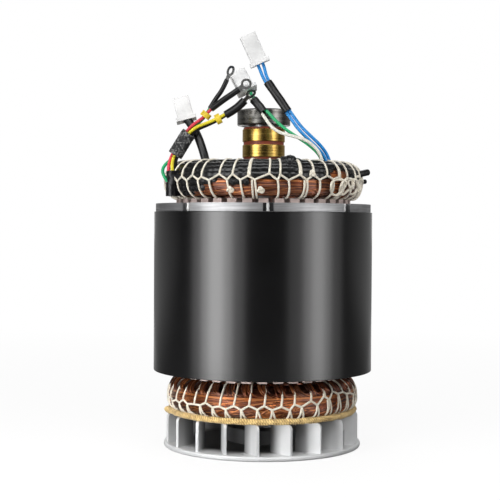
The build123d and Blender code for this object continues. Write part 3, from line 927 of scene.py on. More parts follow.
@dataclass
class SleevedLeads:
    """Black sleeving over the connections that lie on the upper winding."""

    section: Section
    lacing_count: int = 40
    lacing_offset: float = 0.03
    pinch: float = 0.11
    roughness: float = 0.05
    bed: float = 0.0003
    end_slope: float = 26.0
    end_size: float = 0.35
    end_sink: float = 0.0022
    sides: int = 14
    runs: tuple[SleeveRun, ...] = (
        SleeveRun(12, -186, 44, 0.0042),
        SleeveRun(34, -172, 46, 0.0036),
        SleeveRun(55, -182, 178, 0.0042),
        SleeveRun(75, -150, 168, 0.0036),
        SleeveRun(94, -178, 182, 0.0042),
        SleeveRun(112, -170, 160, 0.0036),
        SleeveRun(128, -178, 182, 0.0042),
        SleeveRun(-8, -172, -26, 0.0038),
        SleeveRun(-33, -168, -34, 0.0036),
        SleeveRun(-55, -164, -44, 0.0030),
        SleeveRun(-10, -19, -9, 0.0032),
        SleeveRun(12, 57, 176, 0.0042),
        SleeveRun(34, 55, 174, 0.0036),
        SleeveRun(-12, 72, 118, 0.0034),
        SleeveRun(86, 8, 25, 0.0060, 0.0034),
    )
    stubs: tuple[tuple[Point, Point, float], ...] = (
        ((0.0790, -0.0210, 0.2385), (0.0925, -0.0120, 0.2418), 0.0029),
        ((0.0800, -0.0140, 0.2325), (0.0905, -0.0075, 0.2336), 0.0021),
    )

    def build(self) -> None:
        """Lays each run as a tube that swells between the lacing cords and wanders a little."""
        seeds = np.random.default_rng(11)
        step = np.linspace(0, 1, 210)
        turn, start, end, radius, lift = columns(self.runs)
        angle = np.radians(start + (end - start) * step)
        wander = smooth_wander(8 * step, seeds, len(self.runs), (1, 2, 3))
        unevenness = smooth_wander(90 * step, seeds, len(self.runs), (1, 2))
        full = np.clip(np.minimum(step, 1 - step) * self.end_slope, 0, 1) ** 0.5
        tied = np.cos(self.lacing_count * (angle - self.lacing_offset)) ** 6
        swell = 1.01 - self.pinch * tied + self.roughness * unevenness
        size = radius * swell * (self.end_size + (1 - self.end_size) * full)
        bow = np.sin(HALF_TURN * step) ** 2
        sink = self.bed + lift * bow - radius - self.end_sink * (1 - full)
        place = (angle, np.radians(turn + 4 * wander), sink)
        Finishes.SLEEVE.add(self.section.tubes("winding_sleeving", place, size, self.sides), STATOR)
        self.ends()

    def ends(self) -> None:
        """Cut ends that stick out at the right: straight tubes whose last rows close in."""
        step = np.linspace(0, 1, 24)
        start, end, radius = (np.array(part)[:, None] for part in zip(*self.stubs))
        paths = start + (end - start) * step[:, None]
        close = np.sqrt(np.clip(1 - np.clip(step * 12 - 11, 0, 1) ** 2, 0.09, 1))
        outwards = np.broadcast_to(FRONT_UP, paths.shape)
        Finishes.SLEEVE.add(tubes("sleeve_ends", paths, outwards, radius * close, self.sides), STATOR)


@dataclass
class Lacing:
    """Lacing cord tied round an end winding in a net of six-sided meshes, with turns in degrees."""

    name: str
    section: Section
    top_turn: float
    upper_node: float
    lower_node: float
    bottom_turn: float
    splay: tuple[float, ...] = (0.0,)
    count: int = 40
    offset: float = 0.03
    cord: float = 0.00092
    lift: float = 0.0001
    seed: int = 3
    doubled: tuple[int, ...] = ()
    rise: float = 0.0
    rise_angle: float = 50.0
    rise_spread: float = 0.36
    sway: Span = (0.012, 0.008)
    node_sway: float = 2.5
    lean: float = 0.01
    bow_above: float = 0.012
    bow_below: float = 0.008
    bow_twins: float = 0.006
    twins_above: Span = (0.032, 0.018)
    twins_below: Span = (-0.026, -0.03)

    def line(self, angle: tuple[Array, Array], turn: tuple[Array, Array], bow: float) -> tuple[Array, Array]:
        """Runs from one place on the winding to another, bowed sideways in the middle.

        Args:
            angle: Angles round the shaft at the two ends of each cord.
            turn: Turns of the section at the two ends.
            bow: How far the middle bends along the angle.

        Returns:
            The angles and the turns along each cord.
        """
        step = np.linspace(0, 1, 25)
        along, across = (ends[0][:, None] + (ends[1] - ends[0])[:, None] * step for ends in (angle, turn))
        return along + bow * np.sin(HALF_TURN * step), across

    def build(self) -> None:
        """Ties upright cords above, a zigzag in the middle and upright or splayed cords below."""
        seeds = np.random.default_rng(self.seed)
        pitch = FULL_TURN / self.count
        upper = np.arange(self.count) * pitch + self.offset + seeds.normal(0, self.sway[0], self.count)
        lower = upper + pitch / 2 + seeds.normal(0, self.sway[1], self.count)
        away = np.angle(np.exp(1j * (upper - math.radians(self.rise_angle)))) / self.rise_spread
        climb = self.rise * np.exp(-(away**2))
        high = np.radians(self.upper_node + climb + seeds.normal(0, self.node_sway, self.count))
        low = np.radians(self.lower_node + climb + seeds.normal(0, self.node_sway, self.count))
        top, bottom = (np.full(self.count, math.radians(turn)) for turn in (self.top_turn, self.bottom_turn))
        before = np.roll(lower, 1) - np.where(np.arange(self.count) == 0, FULL_TURN, 0)
        pairs = np.array(self.doubled, dtype=int)
        above = tuple(upper[pairs] + shift for shift in self.twins_above)
        below = tuple(lower[pairs] + shift for shift in self.twins_below)
        lines = [
            self.line((upper + self.lean, upper), (top, high), self.bow_above),
            self.line((upper, lower), (high, low), 0.0),
            self.line((upper, before), (high, np.roll(low, 1)), 0.0),
            self.line(above, (top[pairs], high[pairs]), 0.0),
            self.line(below, (low[pairs], bottom[pairs]), self.bow_twins),
        ]
        for splay in self.splay:
            lines.append(self.line((lower, lower + splay + self.lean), (low, bottom), self.bow_below))
        angle, turn = (np.concatenate(part) for part in zip(*lines))
        Finishes.LACING.add(self.section.tubes(self.name, (angle, turn, self.lift), self.cord, 7), STATOR)


@dataclass(frozen=True)
class Knot:
    """A tied knot on the winding, in degrees and metres."""

    angle: float
    turn: float
    size: float


@dataclass
class LacingKnots:
    """Knots and loose loops where the lacing cord of the upper winding was tied off."""

    section: Section
    knot_cord: float = 0.00125
    knot_lift: float = 0.0006
    loop_cord: float = 0.00108
    loops: int = 5
    loop_angle: float = 60.0
    loop_turn: float = -6.0
    loop_reach: Span = (-0.24, 0.3)
    loop_wide: Span = (0.07, 0.16)
    loop_tall: Span = (0.35, 0.75)
    loop_lean: Span = (-0.9, 0.9)
    loop_lift: Span = (0.0004, 0.0006)
    knots: tuple[Knot, ...] = (
        Knot(-18.5, -36, 0.0023),
        Knot(-1.5, -38, 0.0024),
        Knot(27.5, 16, 0.0023),
        Knot(60.0, -20, 0.0021),
        Knot(140.0, 8, 0.0021),
        Knot(-120.0, 4, 0.0021),
    )

    def build(self) -> None:
        """Each knot is a trefoil: x = sin t + 2 sin 2t, y = cos t - 2 cos 2t, z = -sin 3t."""
        step = circle(60)
        angle, turn, size = columns(self.knots)
        angle, turn = np.radians(angle), np.radians(turn)
        outward = self.section.outward(angle, turn)
        along = ring_points(angle + HALF_TURN / 2, np.ones_like(angle), np.zeros_like(angle))
        upward = np.cross(along, outward)
        x = np.sin(step) + 2 * np.sin(2 * step)
        y = np.cos(step) - 2 * np.cos(2 * step)
        x, y, z = (size[..., None] * part[:, None] / 3 for part in (x, y, -np.sin(3 * step)))
        middle = self.section.place(angle, turn, self.knot_lift)
        paths = middle + x * along + y * upward + 0.7 * z * outward
        outwards = np.broadcast_to(outward, paths.shape) + 0.001
        Finishes.LACING.add(tubes("lacing_knots", paths, outwards, self.knot_cord, 7, closed=True), STATOR)
        self.tangle()

    def tangle(self) -> None:
        """Loose loops at the right: ovals of angle and turn that overlap each other."""
        seeds = np.random.default_rng(8)
        step, each = circle(90), (self.loops, 1)
        angle = math.radians(self.loop_angle) + np.linspace(*self.loop_reach, self.loops)[:, None]
        turn = math.radians(self.loop_turn) + seeds.normal(0, 0.2, each)
        spans = (self.loop_wide, self.loop_tall, self.loop_lean)
        wide, tall, lean = (seeds.uniform(*span, each) for span in spans)
        along = angle + wide * np.sin(step) + 0.02 * np.sin(2 * step + lean)
        across = turn + tall * np.cos(step + lean)
        lift = self.loop_lift[0] + self.loop_lift[1] * np.sin(3 * step + 5 * lean)
        loops = self.section.tubes("lacing_tangle", (along, across, lift), self.loop_cord, 7, closed=True)
        Finishes.LACING.add(loops, STATOR)


@dataclass
class FieldCoil:
    """One field coil of the rotor: a racetrack of wire round the pole's neck."""

    node: str
    neck: float = 0.0245
    squareness: float = 0.28
    wires: int = 10
    scallop: float = 0.0005
    points: int = 48

    def build(self) -> None:
        """Carries a scalloped section along a rounded rectangle that is square to the pole."""
        low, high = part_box(self.node)
        half_wide, half_tall = (high.y - low.y) / 2, (high.z - low.z) / 2
        step = circle(120)[:, None]
        layer = np.linspace(0, 4, 4 * self.points, endpoint=False)
        side = np.floor(layer)
        scallop = self.scallop * np.abs(np.sin(HALF_TURN * self.wires * (layer - side)))
        across = np.interp(layer, range(5), (0, 1, 1, 0, 0))
        inward = np.interp(layer, range(5), (0, 0, 1, 1, 0))
        x = low.x + (high.x - low.x) * across + scallop * np.choose(side.astype(int), (0, -1, 0, 1))
        sink = (half_wide - self.neck) * inward + scallop * np.choose(side.astype(int), (1, 0, -1, 0))
        y = (half_wide - sink) * signed_power(np.cos(step), self.squareness)
        z = (high.z + low.z) / 2 + (half_tall - sink) * signed_power(np.sin(step), self.squareness)
        grid = np.stack(np.broadcast_arrays(x, y, z), axis=-1)
        name = f"{self.node}_wires"
        coil = grid_object(name, grid[None], (True, True), flip=True, tone=np.array([0.55]))
        Finishes.COPPER.add(coil, ROTOR, self.node)


# Core and fan


@dataclass
class CoreWelds:
    """Weld beads in the notches of the core, each on a near-black strip of painted shade."""

    node: str = "stator_core"
    notches: int = 8
    first: float = 2.5
    depth: float = 0.004
    strip: float = 0.0043
    notch_shade: float = 0.00025
    bead: float = 0.0014
    stray: float = 0.0003
    fine_ripple: float = 0.13
    coarse_ripple: float = 0.08
    margin: float = 0.0002

    def build(self) -> None:
        """Beads are tubes up the notches, r = a (1 + ripples), and strips are flat ovals up them."""
        low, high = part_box(self.node)
        floor = high.x - self.depth
        angle = (math.radians(self.first) + np.arange(self.notches) * FULL_TURN / self.notches)[:, None]
        height = np.linspace(low.z + self.margin, high.z - self.margin, 190)[None, :]
        wander = self.stray * np.sin(140 * height + 9 * angle)
        paths = ring_points(angle + wander / floor, floor + 0.7 * self.bead, height)
        ripple = 1 + self.fine_ripple * np.sin(1500 * height + 5 * angle)
        ripple = ripple + self.coarse_ripple * np.sin(410 * height + 3 * angle)
        outwards = ring_points(angle + 0 * height, np.ones_like(height), np.zeros_like(height))
        Finishes.WELD.add(tubes("core_welds", paths, outwards, self.bead * ripple, 12), STATOR)
        # Near-black strips on the notch floors: painted shade of the notches.
        turn = circle(24)
        across, out = self.strip * np.cos(turn), floor + self.notch_shade * np.sin(turn)
        place = angle[..., None] + np.arctan2(across, out)
        grid = ring_points(place, np.hypot(across, out), height[..., None])
        Finishes.NOTCH_SHADE.add(grid_object("notch_shade_strips", grid, (False, True), capped=True, flip=True), STATOR)


@dataclass
class PackingRope:
    """The fibrous packing rope that lies on the fan's blades, with a thicker knob at its left end."""

    node: str = "packing_cord"
    circle: float = 0.0806
    start: float = -82.0
    arc: float = 352.0
    half_height: float = 0.0026
    end_size: float = 0.0031
    end_shift: float = 0.0032
    end_width: float = 0.0007
    end_slope: float = 170.0
    knob_slope: float = 48.0
    squash: float = 0.96
    strands: int = 3
    twists: int = 95
    lay_depth: float = 0.07
    lump_depths: Span = (0.05, 0.03)
    hairs: int = 900
    hair: float = 0.00011
    hair_reach: Span = (0.005, 0.995)
    hair_lean: Span = (-0.5, HALF_TURN + 0.5)
    hair_run: Span = (-0.09, 0.09)
    hair_rise: Span = (0.0002, 0.0012)
    bed: float = 0.00002

    def build(self) -> None:
        """A three-strand rope, r = a (1 + b cos(3 w - twist)), flattened where it lies, with fluff."""
        low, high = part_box(self.node)
        size = (high.z - low.z) / 2
        step, turn = np.linspace(0, 1, 900)[:, None], circle(18)
        angle = np.radians(self.start + self.arc * step)
        near_end = np.clip(1 - np.minimum(step, 1 - step) * self.end_slope, 0, 1)
        knob = np.exp(-((step * self.knob_slope) ** 2))
        twist = self.twists * FULL_TURN * step / self.strands
        lay = 1 + self.lay_depth * np.cos(self.strands * turn - twist)
        lump = 1 + self.lump_depths[0] * np.sin(37 * angle) * np.sin(11 * angle + 1)
        lump = lump + self.lump_depths[1] * np.sin(83 * angle + 2 * turn)
        form = lay * lump * np.sqrt(np.clip(1 - near_end**2, 0.0004, 1))
        across = (size * self.squash + self.end_width * knob) * form
        half = self.half_height + (self.end_size - self.half_height) * knob
        height = np.maximum(low.z + half + half * form * np.sin(turn), low.z + self.bed)
        grid = ring_points(angle, self.circle + self.end_shift * knob + across * np.cos(turn), height)
        rope = grid_object("packing_rope", grid[None], (False, True), capped=True, flip=True)
        Finishes.ROPE.add(rope, ROTOR, self.node)
        self.fluff(low.z + self.half_height, size)

    def fluff(self, middle: float, size: float) -> None:
        """Short curled hairs that start in the rope and run mostly along it.

        Args:
            middle: Height of the rope's middle.
            size: The rope's radius.
        """
        seeds = np.random.default_rng(4)
        spans = (self.hair_reach, self.hair_lean, self.hair_run, self.hair_rise)
        place, lean, run, rise = (seeds.uniform(*span, (self.hairs, 1)) for span in spans)
        step = np.linspace(0, 1, 6)
        radius = size * 0.92 + rise * np.sin(HALF_TURN * step * 0.9)
        along, lean = np.radians(self.start + self.arc * place) + run * step, lean + 0.8 * step
        height = middle + radius * np.sin(lean) * self.half_height / size
        paths = ring_points(along, self.circle + radius * np.cos(lean), height)
        outwards = ring_points(along, np.cos(lean), np.sin(lean))
        Finishes.ROPE.add(tubes("packing_fluff", paths, outwards, self.hair, 3), ROTOR)


# Leads


@dataclass(frozen=True)
class Tube:
    """A round tube along a smooth line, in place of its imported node."""

    node: str
    finish: Finishes
    route: tuple[Point, ...]
    diameter: float = 0.0028
    ending: ClassVar[str] = "skin"

    def curve(self, name: str, bevel: float) -> Piece:
        """Draws a smooth NURBS line with the route's points as its control points.

        Args:
            name: The object's name.
            bevel: The radius round the line, or nought for the bare line.

        Returns:
            The new object.
        """
        data = bpy.data.curves.new(name, "CURVE")
        data.dimensions = "3D"
        data.bevel_depth = bevel
        data.bevel_resolution = 5
        data.resolution_u = 10
        data.use_fill_caps = True
        spline = data.splines.new("NURBS")
        spline.points.add(len(self.route) - 1)
        spline.points.foreach_set("co", np.column_stack([self.route, np.ones(len(self.route))]).ravel())
        spline.order_u = 3
        spline.use_endpoint_u = True
        return linked(name, data)

    def centreline(self) -> Array:
        """Reads points along the tube's own NURBS line.

        Returns:
            The points, in order.
        """
        bare = self.curve(f"{self.node}_line", 0.0)
        mesh = bpy.data.meshes.new_from_object(bare)
        points = np.empty(3 * len(mesh.vertices), dtype=np.float32)
        mesh.vertices.foreach_get("co", points)
        data = bare.data
        bpy.data.objects.remove(bare)
        bpy.data.curves.remove(data)
        bpy.data.meshes.remove(mesh)
        return points.reshape(-1, 3).astype(float)

    def build(self) -> None:
        """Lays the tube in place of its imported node."""
        piece = self.curve(f"{self.node}_{self.ending}", self.diameter / 2)
        self.finish.add(piece, STATOR, self.node)


@dataclass(frozen=True, kw_only=True)
class Lead(Tube):
    """One free lead: its length as cut, its far end and the pieces on it."""

    length: float
    far_end: str
    carries: tuple[str, ...]
    stiffness: str = "medium"
    ending: ClassVar[str] = "cord"

    def declare(self) -> None:
        """Does nothing: the lead's length, thickness and pieces are not declared here."""


LEADS = (
    Lead(
        "lead_blue_left", Finishes.BLUE,
        (
            (0.0538, -0.0493, 0.246), (0.0518, -0.0504, 0.253), (0.0456, -0.0504, 0.2604),
            (0.0372, -0.0484, 0.2682), (0.0288, -0.0458, 0.2768), (0.0216, -0.0426, 0.2875),
            (0.0141, -0.041, 0.2984), (0.0053, -0.039, 0.3111), (-0.0004, -0.0378, 0.3194),
            (-0.0039, -0.0362, 0.3287), (-0.0065, -0.0362, 0.3344),
        ),
        length=0.1094, far_end="connector", carries=("blue_sleeve_skin", "plug_top"),
    ),
    Lead(
        "lead_blue_right", Finishes.BLUE,
        (
            (0.057, -0.0462, 0.246), (0.0549, -0.0476, 0.2536), (0.0486, -0.049, 0.2623),
            (0.04, -0.0474, 0.2704), (0.0314, -0.0452, 0.2788), (0.024, -0.0426, 0.2893),
            (0.0166, -0.041, 0.3), (0.0074, -0.039, 0.3133), (0.002, -0.0378, 0.3212),
            (0.0001, -0.0362, 0.3305), (-0.0025, -0.0362, 0.3362),
        ),
        length=0.1107, far_end="connector", carries=("plug_top",),
    ),
    Lead(
        "lead_green_right", Finishes.GREEN,
        (
            (0.0506, -0.0534, 0.246), (0.0482, -0.0544, 0.2526), (0.042, -0.054, 0.2596),
            (0.0332, -0.0522, 0.2662), (0.0234, -0.0498, 0.2724), (0.0136, -0.0468, 0.2798),
            (0.0046, -0.0436, 0.2894), (-0.0053, -0.0389, 0.3003), (-0.0105, -0.0364, 0.306),
            (-0.0142, -0.0334, 0.3126),
        ),
        length=0.0971, far_end="connector", carries=("green_white_sleeve_skin", "plug_middle"),
    ),
    Lead(
        "lead_white_right", Finishes.WHITE,
        (
            (0.0500, -0.0566, 0.246), (0.0480, -0.0584, 0.2540), (0.0425, -0.0590, 0.2612),
            (0.0345, -0.0580, 0.2669), (0.0250, -0.0555, 0.2697), (0.0150, -0.0525, 0.2722),
            (0.0068, -0.0484, 0.2772), (0.0010, -0.0440, 0.2858), (-0.0075, -0.0389, 0.2983),
            (-0.0127, -0.0364, 0.304), (-0.0164, -0.0334, 0.3106),
        ),
        length=0.1016, far_end="connector", carries=("plug_middle",),
    ),
    Lead(
        "lead_green_left", Finishes.GREEN,
        (
            (-0.0798, -0.0364, 0.2285), (-0.0852, -0.0366, 0.2346), (-0.0874, -0.0352, 0.2436),
            (-0.0775, -0.035, 0.2521), (-0.0726, -0.0356, 0.2592), (-0.0621, -0.0368, 0.2764),
            (-0.0516, -0.0378, 0.2856), (-0.0477, -0.038, 0.2912), (-0.0454, -0.038, 0.296),
        ),
        length=0.0840, far_end="fitting",
        carries=(
            "braid_carriers", "braid_core", "boot_collar_skin", "marker_left",
            "terminal_sleeve_small_skin", "ring_terminal_small",
        ),
    ),
    Lead(
        "lead_red", Finishes.RED,
        (
            (-0.0798, -0.04, 0.2285), (-0.0808, -0.0408, 0.2355), (-0.0816, -0.0394, 0.2435),
            (-0.0795, -0.0374, 0.2525), (-0.0746, -0.038, 0.2606), (-0.0641, -0.0392, 0.2778),
            (-0.0514, -0.0412, 0.286), (-0.0475, -0.0418, 0.2908), (-0.0434, -0.0428, 0.2944),
        ),
        length=0.0809, far_end="fitting", carries=("terminal_sleeve_medium_skin", "ring_terminal_medium"),
    ),
    Lead(
        "lead_yellow", Finishes.YELLOW,
        (
            (-0.0762, -0.04, 0.2285), (-0.0768, -0.0412, 0.2355), (-0.0782, -0.0414, 0.243),
            (-0.0777, -0.0398, 0.2509), (-0.0735, -0.0403, 0.2578), (-0.0623, -0.0416, 0.2762),
            (-0.0462, -0.043, 0.2822), (-0.0362, -0.0429, 0.2868), (-0.0312, -0.0434, 0.2902),
        ),
        length=0.0860, far_end="fitting",
        carries=("marker_right", "terminal_sleeve_large_skin", "ring_terminal_large"),
    ),
    Lead(
        "lead_black", Finishes.BLACK,
        (
            (-0.0762, -0.0364, 0.2285), (-0.0754, -0.0366, 0.2346), (-0.075, -0.0373, 0.2412),
            (-0.0757, -0.0374, 0.2495), (-0.0714, -0.0379, 0.2566), (-0.0603, -0.0392, 0.2748),
            (-0.0456, -0.0394, 0.2808), (-0.0358, -0.0396, 0.286), (-0.0306, -0.0402, 0.2894),
        ),
        length=0.0833, far_end="fitting", carries=("ring_terminal_large",),
    ),
    Lead(
        "upright_sleeve", Finishes.SHRINK,
        (
            (-0.0488, -0.0376, 0.246), (-0.0504, -0.0372, 0.253), (-0.0532, -0.0352, 0.2618),
            (-0.0566, -0.0324, 0.2708), (-0.0616, -0.0280, 0.2798), (-0.0676, -0.024, 0.2874),
        ),
        0.0072, length=0.0482, far_end="connector", carries=("plug_left",),
    ),
)

TERMINAL_SLEEVES = (
    Tube(
        "terminal_sleeve_small", Finishes.SHRINK,
        (
            (-0.0462, -0.038, 0.2942), (-0.0415, -0.0392, 0.302), (-0.0352, -0.0406, 0.31),
            (-0.0316, -0.0415, 0.3185),
        ),
        0.0040,
    ),
    Tube(
        "terminal_sleeve_medium", Finishes.SHRINK,
        (
            (-0.0449, -0.0424, 0.2931), (-0.034, -0.0436, 0.3014), (-0.0274, -0.0436, 0.3056),
            (-0.0215, -0.0432, 0.31),
        ),
        0.0052,
    ),
    Tube(
        "terminal_sleeve_large", Finishes.SHRINK,
        (
            (-0.0326, -0.0417, 0.2884), (-0.0272, -0.0427, 0.2915), (-0.0214, -0.0442, 0.2954),
            (-0.0165, -0.0458, 0.3004),
        ),
        0.0070,
    ),
)


@dataclass
class LeadSleeve:
    """A sleeve over some leads, from a place near one point to a place near another."""

    node: str
    leads: tuple[str, ...]
    start: Point
    end: Point
    radius: float
    bore: float
    crumple: float = 0.035
    packed: bool = True
    rows: int = 46

    def frames(self) -> tuple[Array, Array, Array]:
        """Takes the mean of the leads' own lines between the points nearest to the sleeve's ends.

        Returns:
            The path, and two directions square to it.
        """
        stretches = []
        for lead in (lead for lead in LEADS if lead.node in self.leads):
            line = lead.centreline()
            fine = np.linspace(0, len(line) - 1, 4000)
            dense = np.column_stack([np.interp(fine, np.arange(len(line)), part) for part in line.T])
            first, last = (np.linalg.norm(dense - end, axis=1).argmin() for end in (self.start, self.end))
            stretches.append(dense[np.linspace(first, last, self.rows).astype(int)])
        path = np.mean(stretches, axis=0)[None]
        return path, *tube_frames(path, np.broadcast_to(FRONT_UP, path.shape), False)

    def shell(self, wall: Array) -> Array:
        """A tube along the path whose first and last rows turn in to the bore.

        Args:
            wall: The tube's radius for each row and each point round it.

        Returns:
            The tube's grid.
        """
        row = np.concatenate([[0], np.arange(self.rows), [self.rows - 1]])
        path, normal, binormal = (part[0][row][:, None] for part in self.frames())
        size = wall[row]
        size[[0, -1]] = self.bore
        return path + size[..., None] * around(normal, binormal, circle(wall.shape[1]))

    def build(self) -> None:
        """A shrunk tube: r = R (1 + dents), turned in at both ends to its bore."""
        step, turn = np.linspace(0, 1, self.rows)[:, None], circle(28)
        dent = 1 + self.crumple * np.sin(9 * step + 2 * np.cos(turn)) * np.cos(2 * turn + 4 * step)
        skin = grid_object(f"{self.node}_skin", self.shell(self.radius * dent)[None], (False, True))
        Finishes.SHRINK.add(skin, STATOR, *([self.node] if self.packed else []))


@dataclass
class BraidedSleeve(LeadSleeve):
    """A sleeve braided from flat yarns that cross over and under each other."""

    carriers: int = 16
    turns: float = 1.2
    yarn: float = 0.00062

    def build(self) -> None:
        """Yarns on left and right helices, each riding over and under in turn, on a dark core."""
        seeds = np.random.default_rng(6)
        path, normal, binormal = self.frames()
        wound = self.turns * FULL_TURN * np.linspace(0, 1, self.rows)
        hand = np.repeat([1.0, -1.0], self.carriers)[:, None]
        first = np.tile(np.arange(self.carriers) * FULL_TURN / self.carriers, 2)[:, None]
        weave = hand * np.cos(self.carriers * wound)
        radius = self.radius - 1.4 * self.yarn + 0.35 * self.yarn * weave
        ring = around(normal, binormal, first + hand * wound)
        tone = seeds.uniform(0, 1, 2 * self.carriers)
        yarns = tubes("braid_carriers", path + radius[..., None] * ring, ring, self.yarn, 6, tone=tone)
        Finishes.BRAID.add(yarns, STATOR)
        core = self.shell(np.full((self.rows, 32), self.radius - 2 * self.yarn))
        Finishes.SLEEVE.add(grid_object("braid_core", core[None], (False, True)), STATOR, self.node)


SLEEVES = (
    LeadSleeve(
        "blue_sleeve", ("lead_blue_left", "lead_blue_right"),
        (0.0205, -0.0421, 0.2917), (0.0031, -0.0383, 0.317), 0.0037, 0.00315,
    ),
    LeadSleeve(
        "green_white_sleeve", ("lead_green_right", "lead_white_right"),
        (0.0009, -0.0419, 0.2912), (-0.009, -0.0381, 0.3022), 0.0037, 0.00315,
    ),
    LeadSleeve(
        "boot_collar", ("lead_red", "lead_yellow", "lead_black"),
        (-0.0772, -0.0388, 0.2295), (-0.0775, -0.0392, 0.2405), 0.0050, 0.0030, 0.09, packed=False,
    ),
    BraidedSleeve(
        "braided_sleeve", ("lead_green_left", "lead_red", "lead_yellow", "lead_black"),
        (-0.0755, -0.0376, 0.2544), (-0.0643, -0.039, 0.2729), 0.0066, 0.0041,
    ),
)


def build_leads() -> None:
    """Lays the leads, their sleeves and terminals, and then calls each free lead's declare, which does
    nothing.
    """
    for piece in (*LEADS, *TERMINAL_SLEEVES, *SLEEVES):
        piece.build()
    for lead in LEADS:
        lead.declare()


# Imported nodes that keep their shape

NODE_FINISHES = {
    Finishes.CASTING: ("fan_wheel",),
    Finishes.SHAFT: ("shaft",),
    Finishes.STACK: ("rotor_core", "stator_core"),
    Finishes.BAND: ("cover_band",),
    Finishes.PAPER: ("slot_liners",),
    Finishes.WEDGE: ("slot_wedges",),
    Finishes.COPPER: ("coil_sides",),
    Finishes.RESIN: ("slip_ring_hub",),
    Finishes.BRASS: ("slip_ring_lower", "slip_ring_upper"),
    Finishes.BEARING: ("bearing_inner_ring", "bearing_outer_ring"),
    Finishes.SHIELD: ("bearing_shields",),
    Finishes.SLEEVE: ("lead_boot",),
    Finishes.MARKER: ("marker_left", "marker_right"),
    Finishes.NYLON: ("plug_top", "plug_middle", "plug_left"),
    Finishes.TIN: ("ring_terminal_small", "ring_terminal_medium", "ring_terminal_large"),
}


# Studio


@dataclass(frozen=True)
class SoftBox:
    """A soft lamp, aimed at a height on the shaft."""

    name: str
    place: Point
    size: Span
    power: float
    aim_height: float
    spread: float = 180.0
    mirrored: bool = True

    def build(self) -> None:
        """Makes the lamp, unseen by the camera, and turns it to the shaft at its aim."""
        data = bpy.data.lights.new(self.name, "AREA")
        data.shape = "RECTANGLE"
        data.size, data.size_y = self.size
        data.energy = self.power
        data.spread = math.radians(self.spread)
        lamp = linked(self.name, data)
        lamp.visible_camera = False
        lamp.visible_glossy = self.mirrored
        back = unit(np.subtract(self.place, (0.0, 0.0, self.aim_height)))
        side = unit(np.cross([0.0, 0.0, 1.0], back) + np.array([1e-6, 0.0, 0.0]))
        turn = Matrix(np.column_stack([side, np.cross(back, side), back]).tolist())
        lamp.matrix_world = Matrix.Translation(self.place) @ turn.to_4x4()


@dataclass(frozen=True)
class Change:
    """A brightness that changes from one value to another over a span."""

    span: Span
    light: Span

    def over(self, graph: Graph, value: Socket) -> Socket:
        """The brightness for some value."""
        return graph.between(value, self.span, self.light)


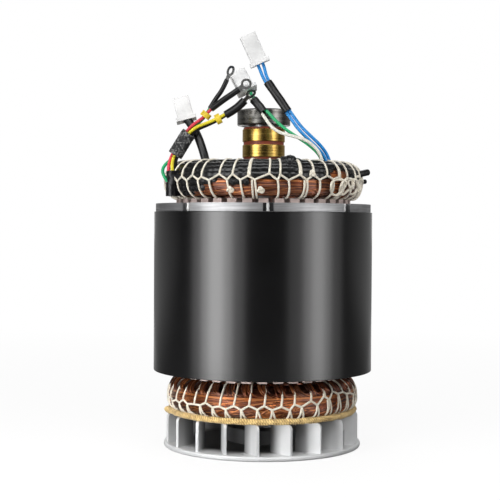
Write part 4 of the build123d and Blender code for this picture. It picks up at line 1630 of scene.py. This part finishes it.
@dataclass(frozen=True)
class Studio:
    """White floor and background, soft boxes, and the photograph's camera."""

    camera_distance: float = 1.093
    camera_height: float = 0.1952
    focal_pixels: float = 1230.7
    frame_pixels: float = 500.0
    axis_pixel: float = 263.03
    pitch_down: float = 1.186
    roll: float = 0.344
    sensor: float = 36.0
    floor_size: float = 30.0
    white_floor: Colour = (0.95, 0.95, 0.95)
    dim_floor: Colour = (0.09, 0.09, 0.09)
    floor_far: Change = Change((0.2, 1.2), (0.86, 1.0))
    floor_behind: Change = Change((0.25, 1.2), (0.0, 1.0))
    floor_aside: Change = Change((0.04, 0.3), (1.0, 0.22))
    room_behind: Change = Change((-0.35, 0.55), (0.04, 0.7))
    room_height: Change = Change((0.0, 0.35), (0.12, 1.0))
    mirrored_sides: Change = Change((0.0, 0.8), (0.01, 0.24))
    mirrored_back: Change = Change((0.92, 0.985), (0.0, 0.76))
    lamps: tuple[SoftBox, ...] = (
        SoftBox("left_edge", (-0.333, -0.345, 0.25), (0.494, 0.50), 0.48, 0.25),
        SoftBox("left_box", (-0.326, -0.338, 0.25), (0.269, 0.50), 0.67, 0.25),
        SoftBox("left_core", (-0.319, -0.331, 0.25), (0.120, 0.50), 0.33, 0.25),
        SoftBox("right_edge", (0.379, -0.288, 0.25), (0.532, 0.50), 0.31, 0.25),
        SoftBox("right_box", (0.371, -0.282, 0.25), (0.247, 0.50), 0.38, 0.25),
        SoftBox("right_core", (0.363, -0.276, 0.25), (0.107, 0.50), 0.20, 0.25),
        SoftBox("fan_box", (-0.44, -0.56, 0.05), (0.24, 0.12), 0.35, -0.02, 56.0, mirrored=False),
        SoftBox("front_box", (0.0, -0.85, 1.15), (1.2, 0.7), 9.5, 0.15),
        SoftBox("back_box", (0.0, 0.95, 1.15), (1.2, 0.7), 5.0, 0.15),
    )

    def camera(self) -> None:
        """Stands the camera where the photograph was taken from."""
        data = bpy.data.cameras.new("photo_camera")
        data.sensor_width = self.sensor
        data.lens = self.focal_pixels / self.frame_pixels * self.sensor
        data.shift_x = (self.frame_pixels / 2 - self.axis_pixel) / self.frame_pixels
        camera = linked("photo_camera", data)
        level = Matrix.Rotation(math.radians(90 - self.pitch_down), 4, "X")
        place = Matrix.Translation((0.0, -self.camera_distance, self.camera_height))
        camera.matrix_world = place @ level @ Matrix.Rotation(math.radians(self.roll), 4, "Z")
        bpy.context.scene.camera = camera

    def floor(self) -> None:
        """A white floor that takes the machine's shadow, and that mirrors see only behind it."""
        reach = np.float64(self.floor_size / 2 * math.sqrt(2))
        corners = ring_points(np.radians([[45, 135], [-45, -135]]), reach, np.float64(0.0))
        plane = grid_object("studio_floor", corners[None], (False, False))
        shader = Shader("studio_floor")
        seen = shader.ray("Camera")
        colour = shader.ramp(seen, (0.0, self.dim_floor), (1.0, self.white_floor))
        shader.set({"Base Color": colour, "Roughness": 0.9, "Specular IOR Level": 0.0})
        x, y = (shader.node("SeparateXYZ", axis, {"Vector": shader.coordinates()}) for axis in "XY")
        aside = self.floor_aside.over(shader, shader.maths("MULTIPLY", x, x))
        strip = shader.maths("MULTIPLY", self.floor_behind.over(shader, y), aside)
        mirrored = shader.maths("MULTIPLY", shader.mirror_rays(), strip)
        shown = shader.maths("MULTIPLY", seen, self.floor_far.over(shader, shader.distance()))
        inputs = {
            "Fac": shader.maths("ADD", shown, mirrored),
            1: shader.surface.outputs["BSDF"],
            2: shader.node("Emission", "Emission"),
        }
        shader.fill(shader.nodes["Material Output"], {"Surface": shader.node("MixShader", "Shader", inputs)})
        plane.data.materials.append(shader.material)

    def world(self) -> None:
        """White where the camera looks past the machine, and a dim room in front of it."""
        world = bpy.data.worlds.new("studio")
        bpy.context.scene.world = world
        world.use_nodes = True
        graph = Graph(world.node_tree)
        direction = graph.node("TexCoord", "Generated")
        y, z = (graph.node("SeparateXYZ", axis, {"Vector": direction}) for axis in "YZ")
        room = graph.maths("MULTIPLY", self.room_behind.over(graph, y), self.room_height.over(graph, z))
        mirrored = graph.maths("ADD", self.mirrored_sides.over(graph, y), self.mirrored_back.over(graph, y))
        lit = graph.node("Mix", "Result", {"Factor": graph.mirror_rays(), "A": room, "B": mirrored})
        strength = graph.node("Mix", "Result", {"Factor": graph.ray("Camera"), "A": lit, "B": 1.0})
        graph.fill(graph.nodes["Background"], {"Color": (*WHITE, 1.0), "Strength": strength})

    def build(self) -> None:
        """Sets up the camera, floor, background and lamps."""
        self.camera()
        self.floor()
        self.world()
        for lamp in self.lamps:
            lamp.build()
        bpy.context.scene.view_settings.view_transform = "Standard"


def main() -> None:
    """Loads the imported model, dresses it and sets up the studio."""
    logging.basicConfig(level=logging.INFO, format="%(message)s")
    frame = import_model()
    Studio().build()
    build_leads()
    for finish, nodes in NODE_FINISHES.items():
        for node in nodes:
            finish.dress(frame["nodes"][node])
    upper = EndWinding("upper_end_winding", (0.0125, 0.0141, 0.0081, 0.001), inset=0.0020, climb=-52.0)
    lower = EndWinding(
        "lower_end_winding", (0.0081, 0.0165, 0.001, 0.0070),
        drop=0.0030, strand_top=34.0, neck=0.0022, wires=32,
    )
    for winding in (upper, lower):
        winding.build()
    SleevedLeads(upper.section).build()
    Lacing("upper_lacing", upper.section, 160, 10, -5, -95, doubled=(39, 2, 5)).build()
    splay = (-0.058, 0.058)
    Lacing("lower_lacing", lower.section, 95, -14, -26, -100, splay, seed=9, doubled=(4,), rise=42.0).build()
    LacingKnots(upper.section).build()
    for node in ("field_coil_left", "field_coil_right"):
        FieldCoil(node).build()
    CoreWelds().build()
    PackingRope().build()


if __name__ == "__main__":
    main()
